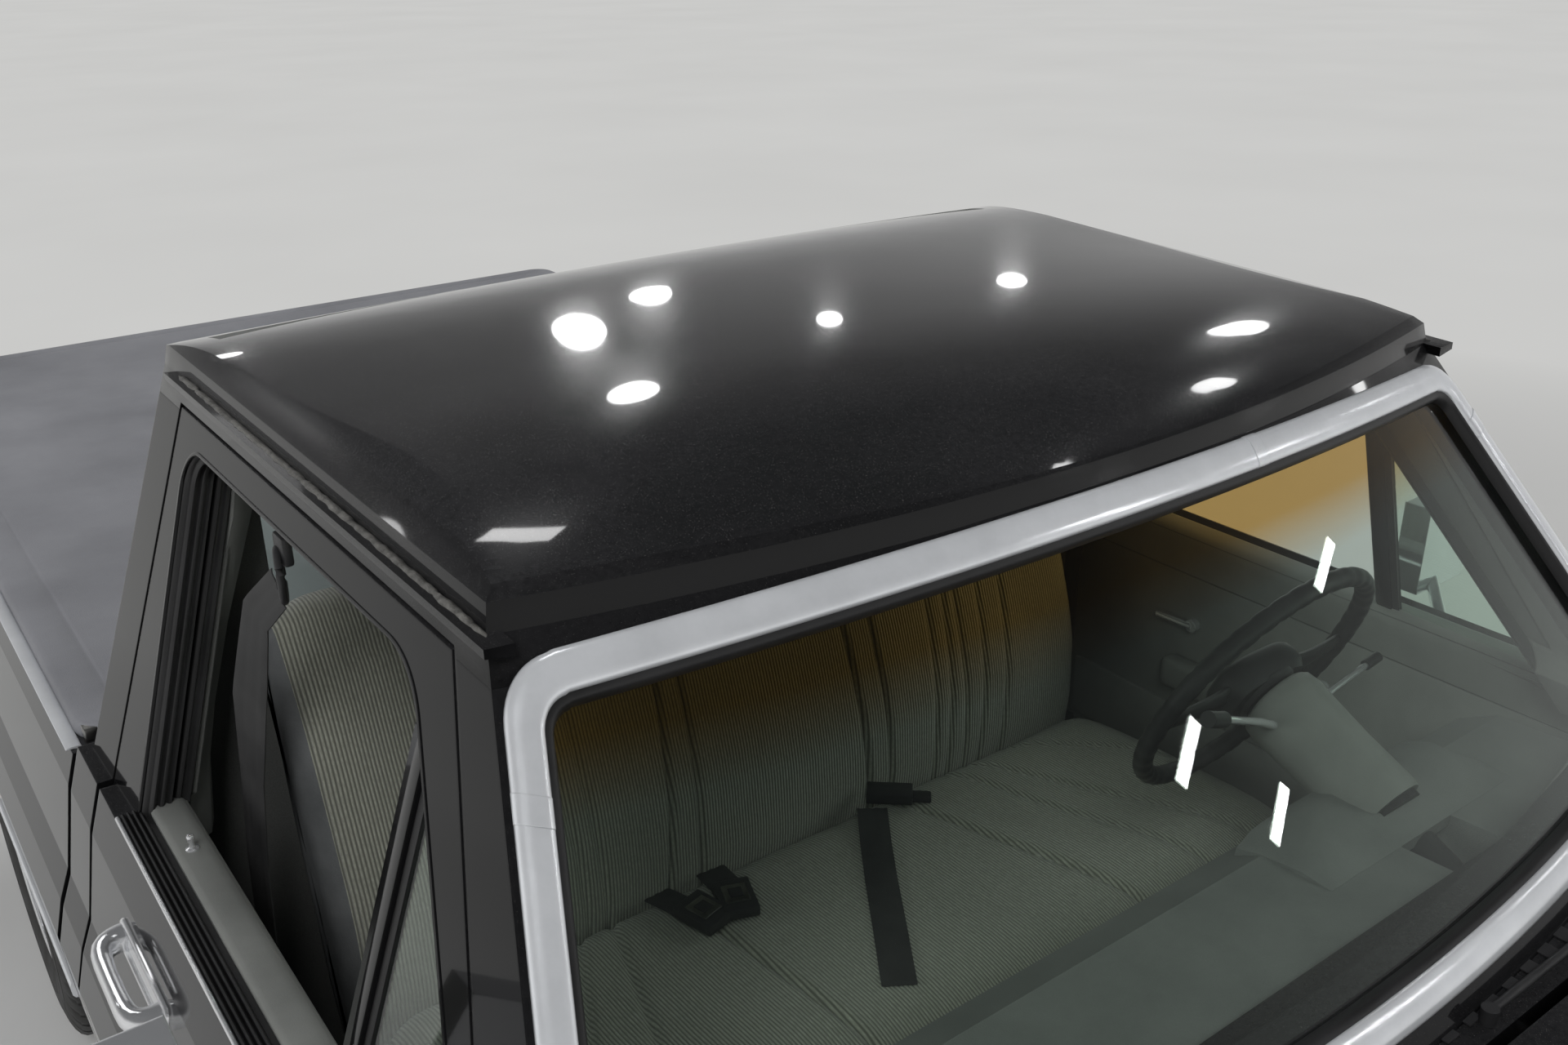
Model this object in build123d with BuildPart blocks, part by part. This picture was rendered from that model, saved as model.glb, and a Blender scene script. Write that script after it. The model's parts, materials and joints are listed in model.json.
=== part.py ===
"""Full-size regular-cab pickup truck with a short covered load bed.

Millimetres. +Z is up, the front of the truck points to -Y, the driver's side is +X.
The origin is on the ground under the middle of the truck's length and width.
"""
import math
import os

from build123d import *

os.makedirs("parts", exist_ok=True)

# Overall layout
FRONT_FACE_Y = -2440        # front face of the front bumper
REAR_FACE_Y = 2440          # rear face of the rear bumper
FRONT_AXLE_Y = -1645
REAR_AXLE_Y = 1325
BELT_Z = 1186               # top of the body sides, where the cab's windows start
BELT_HALF = 893             # half width of the body there
WHEEL_CENTRE_X = BELT_HALF - 68
RUN_GAP = 5                 # gap round doors, hood and tailgate
PIN_GAP = 0.5               # radial gap of pins and shafts
SEAT_GAP = 0.3              # gap where a soft piece rests

# Wheels
TYRE_RADIUS = 366
TYRE_WIDTH = 235
RIM_RADIUS = 194
RIM_WIDTH = 200
RIM_WALL = 10
RIM_DISC_OFFSET = 28        # disc stands outboard of the wheel's centre plane
RIM_DISC_THICKNESS = 12
RIM_SLOTS = 8
RIM_SLOT_RADIUS = 22
RIM_SLOT_CIRCLE = 122
HUB_CAP_RADIUS = 62
HUB_CAP_LENGTH = 60
SPINDLE_RADIUS = 24
ARCH_RADIUS = 428
AXLE_HEIGHT = TYRE_RADIUS
LIP_WIDTH = 17              # bright moulding round each wheel arch
LIP_HEIGHT = 6
LIP_LOW_Z = 490

# Body side section
ROCKER_Z = 430
SILL_Z = 600
WAIST_Z = 900
WAIST_HALF = BELT_HALF + 78
SIDE_SECTION = (
    # height, half width of the outer skin: lower body, waist, bevelled body line, shoulder, belt
    (ROCKER_Z, BELT_HALF + 29),
    (SILL_Z, BELT_HALF + 52),
    (780, BELT_HALF + 71),
    (WAIST_Z, WAIST_HALF),
    (955, BELT_HALF + 63),
    (1000, BELT_HALF + 45),
    (1125, BELT_HALF + 20),
    (BELT_Z, BELT_HALF),
)
WALL_INNER_HALF = BELT_HALF - 87    # inner face of doors, cab corners and bed walls

# Cab
CAB_REAR_Y = 270
CAB_WALL = 52
CAB_CORNER = 20             # bevel of the cab's rear corners
FLOOR_TOP_Z = 545
FLOOR_THICKNESS = 35
TUNNEL_HALF = 150
TUNNEL_TOP_Z = 660
FIREWALL_Y = -1130
FIREWALL_THICKNESS = 40
COWL_TOP_Z = 1165
COWL_HALF = BELT_HALF - 148
COWL_DEPTH = 45
COWL_REAR_Y = -960
GLASS_LEAN = 0.353          # inward lean of the cab side above the belt, per mm of height
GLASS_TAPER = 0.035         # narrowing of the cab towards the front, per mm of length
GLASS_SIDE_X = BELT_HALF - 25       # half width of the cab side at the belt, at y = 0
DOOR_FRAME_THICKNESS = 38
SHELL_SIDE = 74             # wall of the cab's upper part, door frame included
SHELL_FRONT = 50
SCREEN_TOP_Y = -627         # windshield corner line where it meets the roof's edge
SCREEN_TOP_BOW = 79         # how far the middle stands ahead of the corners
SCREEN_BASE_BOW = 104
SCREEN_BASE_Z = 1175
SCREEN_LOW_Z = 1215
SCREEN_CORNER_Z = 1611      # top of the windshield opening at its corners
SCREEN_CROWN_Z = 1627       # and in the middle
SCREEN_CORNER_RADIUS = 32
PILLAR_RAKE = 0.752         # rearward run of the windshield pillar per mm of height
GLASS_THICKNESS = 6
SCREEN_DEPTH = 12           # of the windshield under the pillars' surface
REAR_GLASS_DEPTH = 14
TRIM_WIDTH = 30
TRIM_HEIGHT = 8
TRIM_MARGIN = 8             # pillar seen outside the moulding
REAR_LEAN = 0.02            # forward lean of the cab's back above the belt
REAR_WINDOW_HALF = BELT_HALF - 268
REAR_WINDOW_LOW_Z = 1240
REAR_WINDOW_HIGH_Z = 1575
REAR_WINDOW_RADIUS = 45

# Roof
ROOF_EDGE_Z = 1659          # roof edge at the windshield's corners
ROOF_RISE = 0.032           # rise of the roof edge towards the rear, per mm
ROOF_SPLIT = 34             # joint of roof and pillars under the roof edge
ROOF_SPLIT_Y = -400         # joint of the pillars and the cab's back
SHELL_TOP_Z = 1720
ROOF_RIM = (
    # height over the roof edge, inset from it
    (0, 0),
    (26, 5),
    (44, 26),
    (52, 60),
    (100, 260),
)
ROOF_CROWN = (
    # place along the truck, height of the shoulder and of the middle over the roof edge
    (-760, 2, 8),
    (-600, 34, 52),
    (-300, 46, 71),
    (0, 42, 64),
    (190, 32, 45),
    (300, 2, 8),
)
CROWN_HALF = 720
ROOF_THICKNESS = 38
ROOF_CAVITY_INSET = 110
RAIL_FRONT_Y = -655         # drip rails
RAIL_REAR_Y = 190
RAIL_REACH = 16
RAIL_ROOT = 12
RAIL_DEPTH = 9

# Doors
DOOR_FRONT_Y = -1010
DOOR_REAR_Y = 155
DOOR_BOTTOM_Z = 520
DOOR_TOP_DROP = 31           # top of the door frame under the roof edge
DOOR_REAR_SLANT = 16         # the rear edge is cut back on its inner side
DOOR_BEVEL = (15, 35)        # bevel of the inner front corner: across, along
DOOR_INNER_HALF = WALL_INNER_HALF + RUN_GAP
DOOR_EDGE_TOP_Y = -561       # front edge of the door frame at the roof's edge
DOOR_EDGE_RAKE = 0.627
HINGE_X = BELT_HALF + 22
HINGE_SETBACK = 40
HINGE_Y = DOOR_FRONT_Y + HINGE_SETBACK
HINGE_HEIGHTS = (690, 900)
HINGE_PIN_RADIUS = 9
HINGE_EYE_RADIUS = 18
HINGE_EYE_HEIGHT = 40
HINGE_NOTCH = 24             # room round a hinge eye
WINDOW_FRONT_TOP_Y = -472    # front edge of the window opening at the roof's edge
WINDOW_FRONT_RAKE = 0.75
WINDOW_DROP = 64             # top of the window opening under the roof edge
WINDOW_REAR_Y = 50
WINDOW_REAR_LEAN = 0.16
WINDOW_RADIUS = 42           # rear top corner of the window opening
WINDOW_FRONT_RADIUS = 110    # front top corner
DIVISION_Y = -552
DIVISION_WIDTH = 24
VENT_GLASS_DEPTH = (14, 19)  # under the cab side
HANDLE_Z = 1085
HANDLE_YS = (-205, -25)      # middles of the two feet
HANDLE_REACH = 62
HANDLE_BAR = 20
HANDLE_HEIGHT = 30
MIRROR_FOOT_Y = -605
MIRROR_FOOT_Z = 1125
MIRROR_ARM_RADIUS = 10
MIRROR_HEAD_X = (BELT_HALF + 62, BELT_HALF + 192)
MIRROR_HEAD_Y = (-530, -485)
MIRROR_HEAD_Z = (1165, 1314)

# Load bed
BED_FRONT_Y = CAB_REAR_Y + 18
BED_REAR_Y = REAR_FACE_Y - 140
BED_FLOOR_END_GAP = 10
BED_FLOOR_Z = 690
BED_FLOOR_THICKNESS = 28
BED_RIBS = 9
BED_RIB_PITCH = 140
BED_RIB_WIDTH = 60
BED_RIB_HEIGHT = 6
BED_BOTTOM_Z = 470
BED_FRONT_WALL = 36
BED_RAIL_Z = 1168
WHEELHOUSE_HALF = BELT_HALF - 253
WHEELHOUSE_SKIN = 22
TAILGATE_THICKNESS = 56
TAILGATE_BOTTOM_Z = 686
TAILGATE_HINGE_Z = 706
TAILGATE_HINGE_DEPTH = 20    # hinge line behind the tailgate's inner face
TAILGATE_PIN_RADIUS = 8
TAILGATE_PIN_LENGTH = 25
TAIL_LAMP_Z = (740, 1060)
TAIL_LAMP_DEPTH = 50
COVER_THICKNESS = 26
COVER_INSET = 8
COVER_RADIUS = 14

# Hood, fenders and front
HOOD_REAR_Y = FIREWALL_Y - 20
HOOD_FRONT_Y = FRONT_FACE_Y + 110
HOOD_HALF_REAR = BELT_HALF - 151
HOOD_REAR_Z = 1172
HOOD_FRONT_Z = 1030
HOOD_SECTIONS = (
    # place along the truck, height of the side edge, rise of the middle, thickness
    (HOOD_FRONT_Y, HOOD_FRONT_Z, 8, 30),
    (HOOD_FRONT_Y + 80, HOOD_FRONT_Z + 22, 16, 44),
    (HOOD_REAR_Y - 500, HOOD_REAR_Z - 55, 24, 44),
    (HOOD_REAR_Y, HOOD_REAR_Z, 10, 40),
)
COWL_FRONT_GAP = 20          # from the hood to the cowl, room for the hood's rear edge to swing
HOOD_HINGE_Y = HOOD_REAR_Y - 40
HOOD_HINGE_Z = HOOD_REAR_Z - 24
HOOD_HINGE_X = HOOD_HALF_REAR - 32
HOOD_PIN_RADIUS = 5
HOOD_EYE_RADIUS = 10
HOOD_BRACKET_DROP = 34       # from the hinge pin down to its bracket's foot
HOOD_BRACKET_DEPTH = 14
FENDER_SKIN = 28
FENDER_DECK = 45             # height of the fender's top deck
FENDER_FRONT_Y = HOOD_FRONT_Y + 25
POST_TOP_Z = HOOD_REAR_Z - FENDER_DECK
POST_OUTER_X = BELT_HALF - FENDER_SKIN - 3
POST_INNER_X = BELT_HALF - 137
APRON_X = BELT_HALF - 333
APRON_Z = 830
APRON_FRONT_Y = FENDER_FRONT_Y + 50
SUPPORT_HALF = BELT_HALF - 43       # radiator support panel
SUPPORT_FRONT_Y = APRON_FRONT_Y - 25
GRILLE_Y = HOOD_FRONT_Y - 15
GRILLE_LOW_Z = 700
GRILLE_HIGH_Z = 985
GRILLE_DEPTH = 40
GRILLE_HALF = BELT_HALF - 333
GRILLE_SHELL_HALF = BELT_HALF + 17
GRILLE_BARS = 8
GRILLE_POSTS = 17
LAMP_X = BELT_HALF - 133
LAMP_Z = 862
LAMP_HALF_WIDTH = 105
LAMP_HALF_HEIGHT = 72

# Bumpers
BUMPER_HALF = BELT_HALF + 82
BUMPER_LOW_Z = 455
BUMPER_HIGH_Z = 655
BUMPER_DEPTH = 90
BUMPER_WRAP = 115
PLATE_SPACING = 178
PLATE_HOLE_RADIUS = 3.5
PLATE_HOLE_Z = 600
FRAME_SETBACK = 200
HITCH_HOLE_RADIUS = 12.7

# Chassis
RAIL_X = 430                # middle of each frame rail
RAIL_THICKNESS = 64
RAIL_HEIGHT = 130
FRAME_LOW_Z = 360
FRAME_HIGH_Z = 505
FRAME_END_Z = 480
BODY_MOUNT_RADIUS = 26
KINGPIN_X = WHEEL_CENTRE_X - 113
BALL_JOINT_RISE = 112
PIN_RADIUS = 11
AXLE_TUBE_RADIUS = 40
DRIVE_Z = 400
GEARBOX_END_Y = -560
PINION_NOSE = 210
ENGINE_BLOCKS = (
    # half width, front, rear, underside, top: engine, clutch housing, gearbox
    (310, FIREWALL_Y - 950, FIREWALL_Y - 200, 500, 980),
    (150, FIREWALL_Y - 200, FIREWALL_Y - 10, 440, 620),
    (110, FIREWALL_Y - 10, GEARBOX_END_Y, 385, 500),
)
EXHAUST_FRONT = (FIREWALL_Y - 510, 620)     # place along the truck and height of the pipe's start
EXHAUST_REAR = (REAR_AXLE_Y - 335, 410)
EXHAUST_HANGER_YS = (-800, -150, 800)
MUFFLER_YS = (-50, 450)
TANK_X = (570, BELT_HALF - 108)
TANK_Y = (CAB_REAR_Y + 40, REAR_AXLE_Y - 445)
TANK_LOW_Z = 430
TANK_RADIUS = 40
TANK_STRAP_YS = (TANK_Y[0] + 90, TANK_Y[0] + 280)
SPRING_X = 520
SPRING_WIDTH = 62
SPRING_THICKNESS = 34
SPRING_END_THICKNESS = 16
SPRING_HALF_LENGTH = 640
SPRING_CAMBER = 60
EXHAUST_X = -348
EXHAUST_Z = 322
EXHAUST_PIPE_RADIUS = 26
MUFFLER_RADIUS = 60

# Steering column, from the firewall to the wheel
COLUMN_ANGLE = 25
WHEEL_HUB = (400, -620, 1240)
COLUMN_FOOT_REACH = 500      # distances back from the wheel's hub
COLUMN_MIDDLE_REACH = 240
COLUMN_HEAD_REACH = 36
COLUMN_PIPE_RADIUS = 26
COLUMN_SHROUD_RADIUS = 48
COLUMN_SHAFT_RADIUS = 10
COLUMN_NOTCH_GAP = 6
STEERING_RADIUS = 190
STEERING_GRIP = 14
STEERING_HUB_RADIUS = 46
STEERING_HUB_LENGTH = 40

# Cab inside
SEAT_HALF = BELT_HALF - 203
SEAT_BOTTOM_Z = 700
SEAT_FRONT_Y = -575
SEAT_CREASE_Y = -105
SEAT_CREASE_Z = 868
SEAT_TOP_Z = 1390
SEAT_BACK_TOP_Y = 80
SEAT_CORNER_RADIUS = 120
DASH_HALF = BELT_HALF - 155
DASH_TOP_Z = 1152

# Wipers
WIPER_XS = (-420, 130)
WIPER_LENGTH = 400
WIPER_Y = HOOD_REAR_Y + 36

SIDES = (("left", 1), ("right", -1))


def block(x_range, y_range, z_range, mode=Mode.ADD):
    """Box between two corners."""
    centre = [(low + high) / 2 for low, high in (x_range, y_range, z_range)]
    size = [abs(high - low) for low, high in (x_range, y_range, z_range)]
    with Locations(tuple(centre)):
        Box(*size, mode=mode)


def outline(plane, points):
    """Closed face through the given corners on a plane."""
    with BuildSketch(plane) as sketch:
        with BuildLine():
            Polyline(*points, close=True)
        make_face()
    return sketch.sketch


def prism_x(points, x_low, x_high, mode=Mode.ADD):
    """Outline in y and z, drawn out along x."""
    extrude(outline(Plane.YZ.offset(x_low), points), amount=x_high - x_low, mode=mode)


def prism_y(points, y_low, y_high, mode=Mode.ADD):
    """Outline in x and z, drawn out along y."""
    extrude(outline(Plane.XZ.offset(-y_high), points), amount=y_high - y_low, mode=mode)


def prism_z(points, z_low, z_high, mode=Mode.ADD):
    """Outline in x and y, drawn out along z."""
    extrude(outline(Plane.XY.offset(z_low), points), amount=z_high - z_low, mode=mode)


def rod(start, end, radius, mode=Mode.ADD):
    """Round bar between two points."""
    along = Vector(*end) - Vector(*start)
    with BuildSketch(Plane(origin=start, z_dir=along)) as sketch:
        Circle(radius)
    extrude(sketch.sketch, amount=along.length, mode=mode)


def mirrored(points, sign):
    """The same outline on the side given by the sign of x."""
    return [(sign * x, other) for x, other in points]


def ordered(a, b):
    """Two values as a low and high pair."""
    return (min(a, b), max(a, b))


def save(piece, label):
    """Name a finished piece and write its file."""
    piece.part.label = label
    export_step(piece.part, f"parts/{label}.step")


def skin_half(height):
    """Half width of the body's outer skin at a height."""
    for (z_low, x_low), (z_high, x_high) in zip(SIDE_SECTION, SIDE_SECTION[1:]):
        if height <= z_high:
            share = (height - z_low) / (z_high - z_low)
            return x_low + share * (x_high - x_low)
    return BELT_HALF


def column_point(reach):
    """Point on the steering column's axis, at a distance back from the wheel's hub."""
    angle = math.radians(COLUMN_ANGLE)
    x, y, z = WHEEL_HUB
    return (x, y - reach * math.cos(angle), z - reach * math.sin(angle))


def side_outline(z_low, z_high, inner_half):
    """Body side between two heights, from its outer skin to an inner face."""
    outer = [(skin_half(z_low), z_low)]
    outer += [(half, z) for z, half in SIDE_SECTION if z_low < z < z_high]
    outer += [(skin_half(z_high), z_high)]
    return [(inner_half, z_low)] + outer + [(inner_half, z_high)]


def skin_outline(z_low, z_high, thickness):
    """Body side between two heights as a sheet of even thickness."""
    outer = side_outline(z_low, z_high, 0)[1:-1]
    return outer + [(x - thickness, z) for x, z in reversed(outer)]


def glass_side(y, z):
    """Half width of the cab's side plane above the belt."""
    return GLASS_SIDE_X + GLASS_TAPER * y - GLASS_LEAN * (z - BELT_Z)


def pillar_y(z):
    """Place of the windshield's corner line at a height."""
    return SCREEN_TOP_Y - PILLAR_RAKE * (ROOF_EDGE_Z - z)


def roof_edge(y):
    """Height of the roof's edge at a place along the truck."""
    return ROOF_EDGE_Z + ROOF_RISE * (y - SCREEN_TOP_Y)


def door_edge_y(z):
    """Front edge of the door frame at a height above the belt."""
    return DOOR_EDGE_TOP_Y - DOOR_EDGE_RAKE * (ROOF_EDGE_Z - z)


def window_front_y(z):
    """Front edge of the door's window opening at a height."""
    return WINDOW_FRONT_TOP_Y - WINDOW_FRONT_RAKE * (ROOF_EDGE_Z - z)


def screen_bow(z):
    """How far the windshield's middle stands ahead of its corners."""
    share = (z - SCREEN_BASE_Z) / (ROOF_EDGE_Z - SCREEN_BASE_Z)
    return SCREEN_BASE_BOW + share * (SCREEN_TOP_BOW - SCREEN_BASE_BOW)


def rear_y(z):
    """Place of the cab's rear face at a height above the belt."""
    return CAB_REAR_Y - REAR_LEAN * (z - BELT_Z)


def cab_plan(place, front, middle, rear, x_front, x_rear):
    """Plan of the cab on a plane: bowed front, bevelled rear corners."""
    with BuildSketch(place) as sketch:
        with BuildLine():
            ThreePointArc((-x_front, front), (0, middle), (x_front, front))
            Polyline(
                (x_front, front), (x_rear, rear - CAB_CORNER), (x_rear - CAB_CORNER, rear),
                (CAB_CORNER - x_rear, rear), (-x_rear, rear - CAB_CORNER), (-x_front, front),
            )
        make_face()
    return sketch.sketch


def cab_section(z, side_inset=0, front_inset=0, rear_inset=0):
    """Plan of the cab's upper part at a height."""
    front = pillar_y(z) + front_inset
    rear = rear_y(z) - rear_inset
    return cab_plan(
        Plane.XY.offset(z), front, front - screen_bow(z), rear,
        glass_side(front, z) - side_inset, glass_side(rear, z) - side_inset,
    )


def cab_block(z_low, z_high, *insets, mode=Mode.ADD):
    """Solid block of the cab's upper part between two heights."""
    loft([cab_section(z_low, *insets), cab_section(z_high, *insets)], ruled=True, mode=mode)


def over_roof_line(drop=0):
    """Outline in y and z of all that lies above the roof's edge, or above a line under it."""
    return [
        (-1300, roof_edge(-1300) - drop),
        (400, roof_edge(400) - drop),
        (400, 1900),
        (-1300, 1900),
    ]


def frame_outline(gap=0):
    """Door frame above the belt, seen from the side."""
    low = BELT_Z - 40
    front_y = door_edge_y(low)
    top_y = door_edge_y(ROOF_EDGE_Z - DOOR_TOP_DROP)
    return [
        (front_y - gap, low),
        (DOOR_REAR_Y + gap, low),
        (DOOR_REAR_Y + gap, roof_edge(DOOR_REAR_Y) - DOOR_TOP_DROP + gap),
        (top_y + gap * (DOOR_EDGE_RAKE - 1), roof_edge(top_y) - DOOR_TOP_DROP + gap),
    ]


def window_outline(low, grow=0):
    """Window opening of the door, seen from the side."""
    front_high = window_front_y(ROOF_EDGE_Z - WINDOW_DROP)
    rear_high = WINDOW_REAR_Y + WINDOW_REAR_LEAN * (roof_edge(WINDOW_REAR_Y) - WINDOW_DROP - BELT_Z)
    return [
        (window_front_y(low) - grow, low),
        (WINDOW_REAR_Y + WINDOW_REAR_LEAN * (low - BELT_Z) + grow, low),
        (rear_high + grow, roof_edge(rear_high) - WINDOW_DROP + grow),
        (front_high - grow, roof_edge(front_high) - WINDOW_DROP + grow),
    ]


def window_face(x, low, grow=0):
    """Window opening with its round top corners, on a plane at a distance to the side."""
    with BuildSketch(Plane.YZ.offset(x)) as sketch:
        with BuildLine():
            Polyline(*window_outline(low, grow), close=True)
        make_face()
        fillet(sketch.vertices().sort_by(Axis.Y)[-2:].sort_by(Axis.X)[-1], radius=WINDOW_RADIUS + grow)
        fillet(sketch.vertices().sort_by(Axis.X)[1], radius=WINDOW_FRONT_RADIUS + grow)
    return sketch.sketch


def window_cut(low, x_range, sign, grow=0):
    """Cut the window opening through the side."""
    face = window_face(sign * x_range[0], low, grow)
    extrude(face, amount=sign * (x_range[1] - x_range[0]), mode=Mode.SUBTRACT)


def side_slab(sign, depth_outer, depth_inner, y_low, y_high, z_low, z_high, slant=0, mode=Mode.ADD):
    """Slab parallel to the cab's side plane, between two depths under it."""
    faces = []
    for z in (z_low, z_high):
        corners = [
            (glass_side(y_low, z) - depth_outer, y_low),
            (glass_side(y_high, z) - depth_outer, y_high),
            (glass_side(y_high, z) - depth_inner, y_high - slant),
            (glass_side(y_low, z) - depth_inner, y_low),
        ]
        faces.append(outline(Plane.XY.offset(z), mirrored(corners, sign)))
    loft(faces, ruled=True, mode=mode)


def door_opening_cut(sign):
    """Room for one door's frame in the upper cab, with a step that backs the frame."""
    y_low = door_edge_y(BELT_Z - 60) - 100
    with BuildPart(mode=Mode.PRIVATE) as step:
        side_slab(sign, -60, DOOR_FRAME_THICKNESS + RUN_GAP, y_low, CAB_REAR_Y + 130, 1100, SHELL_TOP_Z)
        prism_x(frame_outline(RUN_GAP), *ordered(sign * 500, sign * 1000), mode=Mode.INTERSECT)
    add(step.part, mode=Mode.SUBTRACT)
    window_cut(BELT_Z - 60, (500, 1000), sign, grow=12)


def screen_face(grow=0):
    """Outline of the windshield opening, seen from the front."""
    def half(z):
        return glass_side(pillar_y(z), z) - TRIM_MARGIN - TRIM_WIDTH + grow
    low = (half(SCREEN_LOW_Z), SCREEN_LOW_Z - grow)
    high = (half(SCREEN_CORNER_Z), SCREEN_CORNER_Z + grow)
    with BuildSketch(Plane.XZ.offset(450)) as sketch:
        with BuildLine():
            Polyline((-high[0], high[1]), (-low[0], low[1]), low, high)
            ThreePointArc(high, (0, SCREEN_CROWN_Z + grow), (-high[0], high[1]))
        make_face()
        fillet(sketch.vertices(), radius=SCREEN_CORNER_RADIUS + grow)
    return sketch.sketch


def rear_window_face(grow=0):
    """Outline of the rear window."""
    with BuildSketch(Plane.XZ.offset(-400)) as sketch:
        with Locations((0, (REAR_WINDOW_LOW_Z + REAR_WINDOW_HIGH_Z) / 2)):
            Rectangle(2 * REAR_WINDOW_HALF + 2 * grow, REAR_WINDOW_HIGH_Z - REAR_WINDOW_LOW_Z + 2 * grow)
        fillet(sketch.vertices(), radius=REAR_WINDOW_RADIUS + grow)
    return sketch.sketch


def upper_shell():
    """Hollow upper part of the cab with its four openings, up to the roof edge."""
    with BuildPart() as shell:
        cab_block(COWL_TOP_Z, SHELL_TOP_Z)
        cab_block(COWL_TOP_Z, SHELL_TOP_Z, SHELL_SIDE, SHELL_FRONT, CAB_WALL, mode=Mode.SUBTRACT)
        prism_x(over_roof_line(), -1000, 1000, mode=Mode.SUBTRACT)
        for _, sign in SIDES:
            door_opening_cut(sign)
            block(
                ordered(sign * (WALL_INNER_HALF - 2), sign * 1000),
                (DOOR_FRONT_Y - RUN_GAP, DOOR_REAR_Y + RUN_GAP),
                (COWL_TOP_Z - 100, BELT_Z + RUN_GAP),
                mode=Mode.SUBTRACT,
            )
            block(
                ordered(sign * COWL_HALF, sign * 1000),
                (HOOD_REAR_Y, DOOR_FRONT_Y),
                (COWL_TOP_Z - 100, BELT_Z + RUN_GAP),
                mode=Mode.SUBTRACT,
            )
        extrude(screen_face(), amount=1000, mode=Mode.SUBTRACT)
        extrude(rear_window_face(), amount=400, mode=Mode.SUBTRACT)
    return shell.part


SHELL = upper_shell()


def roof_plan(height, inset):
    """Plan of the roof on a plane along the roof's edge, at a height over it."""
    front = inset
    rear = rear_y(ROOF_EDGE_Z) - SCREEN_TOP_Y - inset
    place = Plane(
        origin=(0, SCREEN_TOP_Y, ROOF_EDGE_Z + height), x_dir=(1, 0, 0), z_dir=(0, -ROOF_RISE, 1),
    )
    x_front = glass_side(SCREEN_TOP_Y, ROOF_EDGE_Z) - inset
    x_rear = glass_side(CAB_REAR_Y, roof_edge(CAB_REAR_Y)) - inset
    return cab_plan(place, front, front - SCREEN_TOP_BOW, rear, x_front, x_rear)


def crown_face(y, shoulder, middle, drop=0):
    """Cross section of all that lies under the roof's crown."""
    edge = roof_edge(y) - drop
    with BuildSketch(Plane.XZ.offset(-y)) as sketch:
        with BuildLine():
            ThreePointArc((-CROWN_HALF, edge + shoulder), (0, edge + middle), (CROWN_HALF, edge + shoulder))
            Polyline(
                (CROWN_HALF, edge + shoulder), (CROWN_HALF, edge - 60),
                (-CROWN_HALF, edge - 60), (-CROWN_HALF, edge + shoulder),
            )
        make_face()
    return sketch.sketch


def drip_rail(sign):
    """Gutter along one side of the roof's edge."""
    faces = []
    for y in (RAIL_FRONT_Y, RAIL_REAR_Y):
        z = roof_edge(y)
        x = glass_side(y, z)
        corners = [
            (x - RAIL_ROOT, z - RAIL_DEPTH - 1),
            (x + RAIL_REACH, z - RAIL_DEPTH / 2),
            (x + RAIL_REACH, z + RAIL_DEPTH / 2),
            (x - RAIL_ROOT, z + 2),
        ]
        faces.append(outline(Plane.XZ.offset(-y), mirrored(corners, sign)))
    loft(faces, ruled=True)


def cab_roof():
    """Domed roof panel, header, side rails and drip rails."""
    with BuildPart() as piece:
        add(SHELL)
        with BuildPart(mode=Mode.PRIVATE) as band:
            prism_x(over_roof_line(ROOF_SPLIT), -1000, 1000)
        add(band.part, mode=Mode.INTERSECT)
        with BuildPart(mode=Mode.PRIVATE) as dome:
            loft([roof_plan(*row) for row in ROOF_RIM], ruled=True)
            with BuildPart(mode=Mode.PRIVATE) as crown:
                loft([crown_face(*row) for row in ROOF_CROWN])
            add(crown.part, mode=Mode.INTERSECT)
        add(dome.part)
        with BuildPart(mode=Mode.PRIVATE) as cavity:
            loft([crown_face(*row, drop=ROOF_THICKNESS) for row in ROOF_CROWN])
            inner = CROWN_HALF - ROOF_CAVITY_INSET
            block(
                (-inner, inner),
                (SCREEN_TOP_Y - 10, CAB_REAR_Y - ROOF_CAVITY_INSET),
                (ROOF_EDGE_Z - 60, SHELL_TOP_Z + 100), mode=Mode.INTERSECT,
            )
        add(cavity.part, mode=Mode.SUBTRACT)
        for _, sign in SIDES:
            drip_rail(sign)
    return piece


def windshield_pillars():
    """Windshield pillars joined by the rail under the glass."""
    with BuildPart() as piece:
        add(SHELL)
        block((-1000, 1000), (ROOF_SPLIT_Y, 400), (1000, 1800), mode=Mode.SUBTRACT)
        prism_x(over_roof_line(ROOF_SPLIT), -1000, 1000, mode=Mode.SUBTRACT)
        block((-1000, 1000), (-1300, 400), (1000, COWL_TOP_Z), mode=Mode.SUBTRACT)
    return piece


def cab_back():
    """Rear wall of the cab with its window and the two rear corners."""
    with BuildPart() as piece:
        add(SHELL)
        block((-1000, 1000), (-1400, ROOF_SPLIT_Y), (1000, 1800), mode=Mode.SUBTRACT)
        prism_x(over_roof_line(ROOF_SPLIT), -1000, 1000, mode=Mode.SUBTRACT)
        block((-1000, 1000), (-1300, 400), (1000, BELT_Z), mode=Mode.SUBTRACT)
        low = DOOR_BOTTOM_Z - RUN_GAP
        for _, sign in SIDES:
            side = mirrored(side_outline(low, BELT_Z, WALL_INNER_HALF), sign)
            prism_y(side, DOOR_REAR_Y + RUN_GAP, CAB_REAR_Y)
        wall = (-WALL_INNER_HALF, WALL_INNER_HALF)
        block(wall, (CAB_REAR_Y - CAB_WALL, CAB_REAR_Y), (low, BELT_Z))
    return piece


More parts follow.
